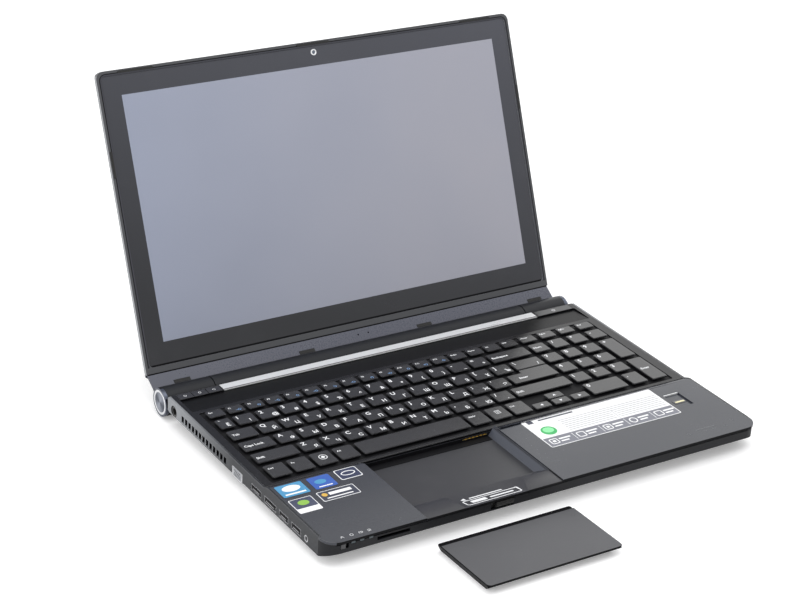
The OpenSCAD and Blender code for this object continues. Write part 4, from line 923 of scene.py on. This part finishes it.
@dataclass
class Chassis:
    """The lower case, its side frames, the deck and what shows of the inside."""

    edge: float = 0.3

    def build(self) -> None:
        """Dresses the pieces of the base."""
        SHOP.dress("lower_case", CASE, width=self.edge)
        for side in ("left", "right"):
            # The side frames' faces that look forwards and backwards, the walls of their vent slots among them,
            # are painted black as shade.
            SHOP.dress("side_frame_" + side, SIDE_GREY, SIDE_EDGE_HIGHLIGHT, 0.4,
                       facing=[Facing(SEAM_AND_SHADE, (0, -1, 0)), Facing(SEAM_AND_SHADE, (0, 1, 0))])
            SHOP.dress("palm_rest_" + side, PALM_METAL, PALM_EDGE_HIGHLIGHT, self.edge, 3,
                       facing=[Facing(SEAM_AND_SHADE, (0, -1, 0), 0.9)])
        SHOP.dress("keyboard_deck", DECK, DECK_EDGE_HIGHLIGHT)
        SHOP.dress("touchpad_bay", BAY, facing=[Facing(BAY_WALL_SHADE, (0, -1, 0)), Facing(BAY_SLOPE_LIT, (-1, 0, 0))])
        SHOP.dress("keyboard_plate", KEY_PLATE, width=0.1, segments=1)
        SHOP.dress("speaker_panel", GRILLE, DECK_EDGE_HIGHLIGHT, 0.15)
        for node, finish, width in (
                ("trim_strip", STRIP, 0.2), ("quick_buttons", BUTTON, 0.2), ("power_button", POWER, 0.2),
                ("bay_latch", LATCH, 0.15), ("radio_switch", BUTTON_GREY, 0.15),
                ("battery_pack", BATTERY, 0.5), ("battery_latch", LATCH, 0.15), ("service_cover", CASE, 0.2),
                ("rubber_feet", RUBBER, 0.4), ("optical_tray", CASE, 0.2),
                ("eject_button", BUTTON_GREY, 0.15), ("fingerprint_reader", READER, 0.15),
                ("status_lights", LENS, 0.1)):
            SHOP.dress(node, finish, width=width)
        SHOP.paint(bay_contacts=GOLD, speakers=INNER, motherboard=BOARD, heat_sink=COPPER, fan_housing=INNER,
                   fan_rotor=CASE, memory_modules=BOARD, hard_drive=CAST, wireless_card=BOARD,
                   optical_drive=CAST, case_screws=SCREW, power_jack=JACK, side_sockets=SOCKET,
                   hinge_brackets=STEEL)


@dataclass
class Keyboard:
    """The key caps with their legends."""

    letter: float = 5.7
    small: float = 3.7
    tiny: float = 2.7
    tiniest: float = 2.6
    top: float = -0.5
    rows: tuple = (
        ("number_keys", ["`", "1", "2", "3", "4", "5", "6", "7", "8", "9", "0", "-", "=", "Backspace"],
         ["Ё", *"!@#$%^&*()_+", ""]),
        ("tab_row_keys", ["Tab", *"QWERTYUIOP[]", "\\"], ["", *"ЙЦУКЕНГШЩЗХЪ", "/"]),
        ("home_row_keys", ["Caps Lock", *"ASDFGHJKL;'"], ["", *"ФЫВАПРОЛДЖЭ"]),
        ("shift_row_keys", ["Shift", *"ZXCVBNM,./", "Shift"], ["", *"ЯЧСМИТЬБЮ.", ""]),
    )
    functions: tuple = ("Esc", "F1", "F2", "F3", "F4", "F5", "F6", "F7", "F8", "F9", "F10", "F11", "F12",
                        "PrtSc", "Pause", "Ins", "Del", "Home", "PgUp", "PgDn", "End")

    def build(self) -> None:
        """Dresses the caps of every row and prints their legends."""
        for node in ("function_keys", "number_keys", "tab_row_keys", "home_row_keys", "shift_row_keys",
                     "bottom_row_keys", "space_bar", "enter_key", "numpad_keys"):
            SHOP.dress(node, KEYS, KEY_EDGE_WEAR_AND_HIGHLIGHT, 0.3, facing=[Facing(KEY_SIDE, (0, 0, 1), 0.45, True)])
        for row in self.rows:
            self.letters(*row)
        self.function_row()
        self.bottom_row()
        self.numpad()
        low, _ = SHOP.islands("enter_key")[0]
        ink = self.ink("enter_key")
        ink.words("Enter", low.x + 8, low.y + 5.2, self.small)
        ink.make()

    def ink(self, node: str, finish: Finish = LEGEND, suffix: str = "legends") -> Print:
        """Starts the print on a row of keys."""
        return Print(f"{node}_{suffix}", finish, body=node, height=level(self.top), lift=0.012)

    def letters(self, node: str, first: Sequence[str], other: Sequence[str]) -> None:
        """Prints a row's letters, the second alphabet lower right.

        Args:
            node: the row.
            first: the upper left legends, from left to right.
            other: the lower right legends.
        """
        ink = self.ink(node)
        for (low, high), a, b in zip(SHOP.islands(node), first, other):
            if len(a) > 1:
                ink.words(a, low.x + 2.0, low.y + 5.2, self.small)
                continue
            ink.words(a, low.x + 2.4, high.y - 5.4, self.letter)
            if b:
                ink.words(b, high.x - 5.8, low.y + 2.0, self.letter * 0.92)
        ink.make()

    def function_row(self) -> None:
        """Prints the short row at the top."""
        ink, blue = self.ink("function_keys"), self.ink("function_keys", LEGEND_BLUE, "fn_marks")
        for i, ((low, high), word) in enumerate(zip(SHOP.islands("function_keys"), self.functions)):
            ink.words(word, low.x + 1.8, high.y - 4.1, self.tiniest)
            if 0 < i < 13:
                x, y = (low.x + high.x) / 2 + 2.5, low.y + 2.6
                blue.shape(*frame_lines(ellipse(x, y, 1.1, 1.1, 12), 0.35))
                if i % 2:
                    blue.shape(stroke((x - 2.6, y), (x - 1.4, y), 0.35))
        ink.make()
        blue.make()

    def bottom_row(self) -> None:
        """Prints the modifiers and the arrows."""
        ink = self.ink("bottom_row_keys")
        keys = sorted(SHOP.islands("bottom_row_keys"), key=lambda b: b[0].x)
        tall = [k for k in keys if k[1].y - k[0].y > 12]
        for (low, high), word in zip(tall, ["Ctrl", "Fn", "", "Alt", "AltGr", "", "Ctrl"]):
            if word:
                ink.words(word, low.x + 2.0, high.y - 6.2, self.tiny)
        (ax, ay), (bx, by) = [((k[0].x + k[1].x) / 2, (k[0].y + k[1].y) / 2 + 1) for k in (tall[2], tall[5])]
        ink.shape(*frame_lines(ellipse(ax, ay, 3.1, 3.1, 24), 0.6))
        ink.shape([(ax, ay + 1.9), (ax - 1.9, ay), (ax, ay - 1.9), (ax + 1.9, ay)])
        ink.shape(*frame_lines(rect(bx - 1.9, by - 2.3, bx + 1.9, by + 2.3), 0.4))
        ink.shape(*[rect(bx - 1.2, by + d, bx + 1.2, by + d + 0.35) for d in (-1.2, -0.1, 1.0)])
        flat = [k for k in keys if k[1].y - k[0].y <= 12]
        row_y = min(k[0].y for k in flat) + 3
        middle = sorted(k[0].x + k[1].x for k in flat)[1] / 2
        for low, high in flat:
            cx, cy = (low.x + high.x) / 2, (low.y + high.y) / 2
            if low.y > row_y:
                dx, dy = 0, 1
            elif abs(cx - middle) < 3:
                dx, dy = 0, -1
            else:
                dx, dy = (-1 if cx < middle else 1), 0
            tip = 1.5 + 0.1 * abs(dx)
            ink.shape([(cx + dx * tip, cy + dy * tip), (cx - dx * 1.1 - dy * 1.5, cy - dy * 1.1 + dx * 1.5),
                       (cx - dx * 1.1 + dy * 1.5, cy - dy * 1.1 - dx * 1.5)])
        ink.make()

    def numpad(self) -> None:
        """Prints the number block."""
        ink, keys = self.ink("numpad_keys"), SHOP.islands("numpad_keys")
        columns = sorted({round(k[0].x) for k in keys})
        rows = sorted({round(k[0].y) for k in keys})
        names = (("0", "", ".", "Enter"), "123", "456+", "789", ("Num", *"/*-"))
        for low, high in keys:
            column, row = columns.index(round(low.x)), names[rows.index(round(low.y))]
            word = row[column] if column < len(row) else ""
            if len(word) > 1:
                ink.words(word, low.x + 2.0, (low.y + high.y) / 2 - 1, self.small)
            else:
                ink.words(word, low.x + 2.4, high.y - 5.6, self.letter)
        ink.make()


@dataclass
class PalmPrints:
    """Stickers, marks and the label on the palm rest."""

    thick: float = 0.06
    lift: float = 0.015
    layer_step: float = 0.075

    def label(self, name: str, finish: Finish, layer: int, *outlines: Outline) -> None:
        """Adds a label's layer.

        Args:
            name: the layer's name.
            finish: its finish.
            layer: how many layers lie below it.
            outlines: its filled shapes.
        """
        lift = self.lift + layer * self.layer_step
        Print(name, finish, lift=lift, thick=self.thick).shape(*outlines).make()

    def build(self) -> None:
        """Makes everything that is stuck or printed on the palm rest, a seam on the lip, and the painted shade in
        the bay and along the trim strip.
        """
        self.left_stickers()
        self.right_label()
        self.front_icons()
        bar = Print("reader_bar", BAR, height=level(-0.9), thick=0.15)
        bar.shape(rect(155.0, 57.2, 163.6, 59.0)).make("contact_gold")
        line = Print("reader_line", STRIP, height=level(-1.2), thick=1.15)
        line.shape(rect(152.2, 69.4, 166.2, 70.2)).make("strip_silver")
        self.bay_label()
        self.faint_marks()
        # A black sheet on the bay's floor along its rear wall paints the shadow under the deck's overhang.
        shadow_sheet = Print("bay_rear_painted_shadow", SEAM_AND_SHADE, height=level(-8.0), thick=0.3)
        shadow_sheet.shape(rect(-110.8, 83.6, 0.8, 89.8)).make("latch_black")
        seam = Print("lip_seam", SEAM_AND_SHADE, height=self.lip, lift=0.03, thick=0.2)
        seam.shape(rect(4.6, 0.4, 6.2, 17.2)).make("latch_black")
        # A dark line along the trim strip's front edge paints the shade below it.
        strip = Print("strip_painted_shade_line", STRIP_SHADE, height=level(DECK_Z), lift=0.012)
        strip.shape(rect(-147.2, 233.7, 147.2, 234.9)).make("strip_silver")

    def left_stickers(self) -> None:
        """Five small stickers with plain coloured shapes."""
        self.label("sticker_papers", WHITE, 0, round_rect(-138, 71, -120.2, 84.9, 1.5),
                   round_rect(-164.2, 50.8, -134, 63.9, 1.2), round_rect(-187.2, 44.2, -168.8, 63.1, 1.2))
        self.label("sticker_cyan_field", CYAN, 1, round_rect(-187, 67.5, -165.6, 83.7, 1.2))
        self.label("sticker_blue_field", BLUE, 1, round_rect(-161, 67.5, -143, 83.9, 1.5))
        self.label("sticker_navy_fields", NAVY, 1, round_rect(-137.3, 71.7, -120.9, 84.2, 1.2),
                   round_rect(-186.6, 50.2, -169.4, 62.5, 1.0))
        self.label("sticker_grey_field", INK, 1, round_rect(-163.6, 51.4, -134.6, 63.3, 1.0))
        self.label("sticker_light_marks", WHITE, 2, ellipse(-176.3, 77.4, 7.2, 4.0),
                   rect(-184.5, 69.5, -168, 71.2), *frame_lines(ellipse(-129.1, 78.2, 5.4, 2.6, 20), 0.8),
                   rect(-160, 53.2, -139, 54.4), rect(-156, 57.2, -138, 60.6),
                   rect(-157.5, 69.3, -146.5, 70.4))
        self.label("sticker_lime_marks", LIME, 2, ellipse(-178, 56.6, 4.4, 3.2))
        self.label("sticker_amber_marks", AMBER, 2, ellipse(-159.6, 58.9, 2.2, 2.2))
        self.label("sticker_sky_marks", CYAN, 2, ellipse(-153.0, 76.4, 4.6, 2.9))

    def right_label(self) -> None:
        """The large white label with its ruled lines and a green spot."""
        self.label("label_paper", WHITE, 0, round_rect(25.6, 41.9, 148.4, 84.0, 1.5))
        self.label("label_band", PALE, 1, rect(26.4, 42.6, 147.6, 55.2))
        lines = [rect(53.5, 58.0 + i * 2.6, 98.5 if i < 4 else 146, 58.4 + i * 2.6) for i in range(7)]
        lines += [rect(101.5, 58.0 + i * 2.6, 146, 58.4 + i * 2.6) for i in range(4)]
        self.label("label_rules", RULES, 2, *lines, rect(99.9, 56, 100.2, 68.5))
        self.label("label_ink", INK, 2, rect(29.6, 78.4, 34.6, 82.9), rect(40, 79.8, 72, 81.4))
        light = [rect(x - 0.2, 44.2, x + 0.2, 53.8) for x in (51.5, 76.6, 100.6, 125.4)]
        for x, kind in ((29.5, 1), (54.5, 0), (79.5, 1), (103.6, 2), (128.4, 0)):
            if kind == 2:
                light += frame_lines(ellipse(x + 3.2, 48.9, 3.0, 3.4, 20), 1.0)
            else:
                light += frame_lines(round_rect(x, 45.6, x + 6.4, 52.2, 1.2), 0.9)
                light += [rect(x + 1.9, 47.6, x + 4.5, 50.2)] * kind
            light += [rect(x + 8.4, 49.6, x + 18.6, 51.4), rect(x + 8.4, 46.2, x + 15.5, 47.8)]
        self.label("label_band_marks", WHITE, 2, *light)
        self.label("label_green_spot", GREEN, 2, ellipse(38.5, 64.4, 6.4, 6.2))
        self.label("label_green_mark", LIME_PALE, 3, ellipse(38.5, 65.2, 4.6, 3.9))

    def front_icons(self) -> None:
        """Small printed icons above the status lights."""
        y = 5.2
        Print("front_icons", LEGEND, lift=0.015).shape(
            *path_lines([(-178.2, y - 1), (-177, y + 1.2), (-175.8, y - 1)], 0.35),
            *frame_lines(ellipse(-169.4, y, 1.2, 1.2, 14), 0.35),
            *frame_lines(rect(-163.4, y - 0.8, -160.9, y + 0.8), 0.35),
            rect(-160.8, y - 0.3, -160.4, y + 0.3),
            *frame_lines(ellipse(-155.4, y + 0.2, 1.1, 0.7, 12), 0.3),
            rect(-156.7, y - 1.2, -154.1, y - 0.9)).make()

    def faint_marks(self) -> None:
        """Barely visible grey print near the right front corner."""
        ink = Print("faint_marks", FAINT, lift=0.015)
        ink.shape(rect(140, 14.0, 158, 15.6), rect(143, 10.6, 151, 11.4), rect(153, 10.6, 157, 11.4))
        for x, y in ((131, 12), (166, 11), (176, 16)):
            ink.shape(*frame_lines(ellipse(x, y, 1.3, 1.3, 14), 0.5))
        ink.make()

    @staticmethod
    def lip(x: float, y: float) -> float:
        """Height of the bay's lip."""
        return -0.75 + 0.35 * y / 17

    def notch(self, x: float, y: float) -> float:
        """Height of the finger notch's floor or of its sloped right end, below the lip."""
        along = math.cos(math.radians(16)) * (x + 25) - math.sin(math.radians(16)) * (y + 1)
        return min(self.lip(x, y), max(-0.7 - 7.3 / 31 * (y + 1), along / 2.6 - 0.7))

    def bay_label(self) -> None:
        """White line drawing on the finger notch: a module with an arrow."""
        ink = Print("notch_drawing", LEGEND, height=self.notch, lift=0.05)
        ink.shape(*frame_lines(round_rect(-74, 3.4, -28, 12.0, 1.6, 3), 1.0))
        ink.shape(round_rect(-69, 5.6, -56, 9.9, 0.8, 2), rect(-53, 6.6, -33, 8.8))
        ink.shape([(-73.5, 14.9), (-69.5, 17.4), (-69.5, 12.6)], rect(-66, 14.2, -38, 15.9)).make()


@dataclass
class SideDetails:
    """Marks by the buttons and the faces of the side sockets."""

    face_x: float = -190.9
    monitor: tuple = (130.5, -12.5, 12.6, 6.2)
    flat_sockets: tuple = ((101.5, -10.85, 12.6), (81.0, -10.8, 14.8), (61.6, -10.75, 11.2),
                           (43.6, -10.75, 11.2))

    def build(self) -> None:
        """Prints the button marks and dresses the sockets."""
        self.monitor_face()
        self.tongues()
        ring = arc(167, 237.7, 1.5, 1.5, [120 + i * 30 for i in range(11)])
        mark = Print("power_mark", LEGEND, body="power_button", height=level(DECK_Z), lift=0.015)
        mark.shape(*path_lines(ring, 0.4), stroke((167, 237.6), (167, 239.5), 0.4)).make()
        marks = Print("quick_marks", LEGEND, body="quick_buttons", height=level(DECK_Z), lift=0.015)
        for x in (-179, -166.6, -154.4):
            marks.shape(*frame_lines(ellipse(x, 237.6, 1.1, 1.1, 12), 0.35))
        marks.make()

    def on_side(self, name: str, finish: Finish, lift: float, thick: float, *outlines: Outline) -> Print:
        """Starts a print on the left side, with x towards the front edge and y up.

        Args:
            name: the piece's name.
            finish: its finish.
            lift: its distance from the side's face, in millimetres.
            thick: its thickness.
            outlines: its filled shapes.

        Returns:
            The print.
        """
        turn = Matrix(((0, 0, -1, self.face_x), (-1, 0, 0, 0), (0, 1, 0, 0), (0, 0, 0, 1)))
        return Print(name, finish, matrix=PALM @ turn, lift=lift, thick=thick).shape(*outlines)

    def monitor_face(self) -> None:
        """Makes the pale face of the monitor socket with its three rows of holes."""
        y, z, w, h = self.monitor
        left, right, low, top = -y - w / 2, -y + w / 2, z - h / 2, z + h / 2
        self.on_side("monitor_socket_face", MONITOR, -0.2, 0.25, [
            (left, top), (left + 1.2, low), (right - 1.2, low), (right, top)]).make("socket_steel")
        self.on_side("monitor_socket_holes", SEAM_AND_SHADE, 0.07, 0.0, *[
            ellipse(-y - 4.2 + k * 1.95 + (row % 2) * 0.9, z + 1.7 - row * 1.7, 0.62, 0.62, 8)
            for row in range(3) for k in range(5)]).make("jack_black")

    def tongues(self) -> None:
        """Makes dark sheets over the mouths of the flat sockets, as painted shade, and the light contact tongues
        in them.
        """
        self.on_side("socket_mouth_shade", SEAM_AND_SHADE, 0.01, 0.03, *[
            rect(-y - w / 2, z - 1.9, -y + w / 2, z + 1.9)
            for y, z, w in self.flat_sockets]).make("jack_black")
        self.on_side("socket_tongues", TONGUE, 0.05, 0.03, *[
            rect(-y - w / 2 + 1.6, z - 0.9, -y + w / 2 - 1.6, z - 0.2)
            for y, z, w in self.flat_sockets]).make("jack_black")


@dataclass
class Lid:
    """The screen, its surround, the camera and the hinge barrel."""

    camera_v: float = 247.6
    glass_n: float = -16.8
    rim_n: float = -16.4
    rim_low: float = 20.2
    glass_low: float = 25.2
    glass_high: float = 252.6
    glass_half: float = 187.0

    def build(self) -> None:
        """Dresses the lid and adds the camera's ring and lens."""
        SHOP.dress("lid_back_cover", LID_BACK, width=0.6, segments=3)
        SHOP.dress("lid_rim", RIM, RIM_EDGE_HIGHLIGHT, 0.4, 3,
                   [Facing(RIM_SIDE_SHEEN, (-1, 0, 0), 0.8), Facing(RIM_SIDE_SHEEN, (1, 0, 0), 0.8)])
        SHOP.dress("lid_lower_band", BAND, width=0.25)
        SHOP.dress("screen_glass", GLASS, width=0.15)
        SHOP.dress("hinge_cover", BARREL, width=0.3, segments=3)
        SHOP.dress("hinge_caps", BARREL, width=0.3, segments=3)
        SHOP.dress("hinge_rings", RING_SIDE, width=0.5, segments=3)
        SHOP.dress("lid_bumpers", RUBBER)
        SHOP.paint(display_panel=INNER, camera_module=CAMERA_BODY, lid_hinge_arms=STEEL)
        self.camera()
        self.seams()
        for side in (-1, 1):
            self.ring_disc(side)

    @staticmethod
    def on_lid(name: str, finish: Finish, n: float, lift: float, thick: float, *outlines: Outline) -> None:
        """Adds a thin piece on the lid.

        Args:
            name: the piece's name.
            finish: its finish.
            n: height of the surface below it.
            lift: its distance from that surface.
            thick: its thickness.
            outlines: its filled shapes.
        """
        piece = Print(name, finish, body="lid", matrix=LID, height=level(n), lift=lift, thick=thick)
        piece.shape(*outlines).make("camera_black")

    def seams(self) -> None:
        """Makes the glass's lapped border and the dark seams around it and above the lower band."""
        low, half = self.glass_low, self.glass_half
        self.on_lid("glass_seam", SEAM_AND_SHADE, self.glass_n, 0.012, 0.03,
                    rect(-half + 0.6, low + 0.05, half - 0.6, low + 1.5))
        self.glass_border()
        self.on_lid("band_seam", SEAM_AND_SHADE, self.rim_n, -0.3, 0.36,
                    rect(-189.8, self.rim_low - 1.2, 189.8, self.rim_low + 0.4))

    def glass_border(self) -> None:
        """Makes the glass's edge where it laps over the rim, with its rounded corners and dark seam."""
        wide, turn = 1.5, 5.0
        low, top, half = self.glass_low + 0.1, self.glass_high + wide, self.glass_half + wide
        corner = arc(half - turn, top - turn, turn, turn, [15 * i for i in range(7)])
        inset = half - wide
        inner = [(0, top - wide), (inset - 2, top - wide), (inset, top - wide - 2), (inset, low)]
        rings, lines = [], []
        for side in (-1, 1):
            path = [(side * x, v) for x, v in ((half, low), *corner, (0, top))]
            rings.append((path + [(side * x, v) for x, v in inner])[::side])
            lines += path_lines(path, 0.75)
        self.on_lid("glass_border", BORDER, self.rim_n, 0.01, 0.02, *rings)
        self.on_lid("glass_seam_outer", SEAM_AND_SHADE, self.rim_n, 0.012, 0.03, *lines)

    def ring_disc(self, side: int) -> None:
        """Makes the bright edge and the spun disc, with its painted reflection fans, in the end of a hinge ring.

        Args:
            side: -1 for the left end, 1 for the right one.
        """
        low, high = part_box("hinge_rings")
        end, word = (low.x, "left") if side < 0 else (high.x, "right")
        turn = Matrix.Rotation(math.radians(90 * side), 4, "Y")
        place = Matrix.Translation(Vector((end / MM, 0, 0))) @ turn
        bright = [(9.9, -0.3), (9.9, 0.03), (9.6, 0.05), (8.5, 0.05), (8.1, 0.0), (8.0, -0.1)]
        SHOP.turned("ring_bright_" + word, bright, 64, place, CHROME, "chrome_ring")
        disc = [(8.1, -0.05), (5.0, -0.02), (1.6, 0.0), (0.0001, 0.0)]
        SHOP.turned("ring_disc_" + word, disc, 64, place, SPUN, "chrome_ring")

    def camera(self) -> None:
        """Makes the camera's bright ring and its dark lens."""
        place = Matrix.Translation(Vector((0, self.camera_v, self.glass_n)))
        ring = [(2.6, -0.3), (2.6, 0.02), (2.45, 0.1), (1.75, 0.1), (1.5, 0.0), (1.45, -0.3)]
        SHOP.turned("camera_ring", ring, 40, place, CHROME, "chrome_ring")
        dome = [(1.45, -0.3), (1.3, -0.16), (1.0, -0.04), (0.5, 0.02), (0.0001, 0.04)]
        SHOP.turned("camera_lens", dome, 32, place, LENS_GLASS, "camera_black")


@dataclass
class TouchpadModule:
    """The loose module on the table."""

    edge: float = 0.35

    def build(self) -> None:
        """Dresses the module's plate and case and prints its round mark."""
        SHOP.dress("pad_top_plate", PAD_METAL, PAD_BLACK, self.edge, 3,
                   [Facing(PAD_BLACK, (0, 0, 1), 0.5, True)], Matrix())
        SHOP.dress("pad_lower_case", PAD_BLACK, width=self.edge)
        SHOP.paint(pad_board=BOARD, pad_battery=CAST)
        _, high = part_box("pad_top_plate")
        x, y, z = high.x / MM - 6.5, high.y / MM - 8, high.z / MM
        mark = Print("pad_round_mark", BUTTON_GREY, matrix=Matrix.Scale(MM, 4), height=level(z), lift=0.012)
        mark.shape(*frame_lines(ellipse(x, y, 1.5, 1.5, 20), 0.4)).make()


# ---------------------------------------------------------------- the studio


@dataclass
class Studio:
    """Camera, floor, world and lamps."""

    camera_at: Point3 = (-0.835197, -1.214725, 0.766634)
    right: Point3 = (0.847778, -0.528827, 0.040184)
    up: Point3 = (0.18655, 0.368273, 0.91081)
    back: Point3 = (-0.49646, -0.764668, 0.410866)
    lens: float = 96.0777
    world_light: float = 0.7
    floor_color: Color = (0.93, 0.93, 0.935)
    floor_lift: float = 0.25

    def build(self) -> None:
        """Makes the whole studio."""
        self.camera()
        self.world()
        self.floor()
        self.lamp("soft_top", (-0.2, -0.1, 1.7), (0, 0, 0), 1.8, 13.0)
        self.lamp("soft_left", (-1.9, -0.5, 1.0), (0, 0, 0.05), 1.4, 16.0)
        self.lamp("soft_back_right", (1.3, 1.35, 0.85), (0, 0, 0.05), 0.9, 1.4)
        self.lamp("soft_right", (1.6, 0.2, 1.1), (0, 0, 0.05), 1.2, 7.0)

    @staticmethod
    def show(name: str, data: object) -> bpy.types.Object:
        """Puts a camera, a lamp or a mesh into the scene.

        Args:
            name: the object's name.
            data: what it shows.

        Returns:
            The object.
        """
        made = bpy.data.objects.new(name, data)
        bpy.context.scene.collection.objects.link(made)
        return made

    def camera(self) -> None:
        """Makes the camera."""
        data = bpy.data.cameras.new("camera")
        data.lens = self.lens
        data.sensor_width = 36.0
        data.sensor_fit = "HORIZONTAL"
        data.clip_end = 50.0
        camera = self.show("camera", data)
        rows = zip(self.right, self.up, self.back, self.camera_at)
        camera.matrix_world = Matrix((*rows, (0, 0, 0, 1)))
        bpy.context.scene.camera = camera

    def world(self) -> None:
        """A white world to look at, which lights the scene more softly than it looks."""
        world = bpy.data.worlds.new("studio")
        bpy.context.scene.world = world
        world.use_nodes = True
        world.node_tree.nodes.clear()
        net = Nodes(world.node_tree)
        rays = net.new("LightPath").outputs
        seen = net.math("MAXIMUM", rays["Is Camera Ray"], rays["Is Glossy Ray"])
        seen = net.math("MAXIMUM", seen, rays["Is Transmission Ray"])
        extra = net.math("MULTIPLY", seen, 1.0 - self.world_light)
        sky = net.new("Background", Color=(1, 1, 1, 1), Strength=net.math("ADD", extra, self.world_light))
        net.new("OutputWorld", Surface=sky.outputs[0])

    def floor(self) -> None:
        """A plain pale floor."""
        mesh = bpy.data.meshes.new("floor")
        mesh.from_pydata([(-6, -6, 0), (6, -6, 0), (6, 6, 0), (-6, 6, 0)], [], [(0, 1, 2, 3)])
        floor = self.show("floor", mesh)
        floor.location.z = -0.0002
        material = bpy.data.materials.new("floor_white")
        material.use_nodes = True
        net = Nodes(material.node_tree)
        seen = net.math("MULTIPLY", net.new("LightPath").outputs["Is Camera Ray"], self.floor_lift)
        net.fill(net.tree.nodes["Principled BSDF"], Base_Color=(*self.floor_color, 1), Roughness=0.9,
                 Specular_IOR_Level=0.1, Emission_Color=(1, 1, 1, 1), Emission_Strength=seen)
        mesh.materials.append(material)

    def lamp(self, name: str, place: Point3, target: Point3, size: float, power: float) -> None:
        """Adds a square soft lamp.

        Args:
            name: the lamp's name.
            place: where it hangs.
            target: what it points at.
            size: its edge, in metres.
            power: its power, in watts.
        """
        data = bpy.data.lights.new(name, "AREA")
        data.size = size
        data.energy = power
        lamp = self.show(name, data)
        lamp.location = place
        lamp.rotation_euler = (Vector(target) - Vector(place)).to_track_quat("-Z", "Y").to_euler()


def main() -> None:
    """Builds the studio and the laptop's parts in order."""
    bpy.context.scene.view_settings.view_transform = "Standard"
    for part in (Studio(), Chassis(), Keyboard(), PalmPrints(), SideDetails(), Lid(), TouchpadModule()):
        log.info("building %s", type(part).__name__)
        part.build()


if __name__ == "__main__":
    main()
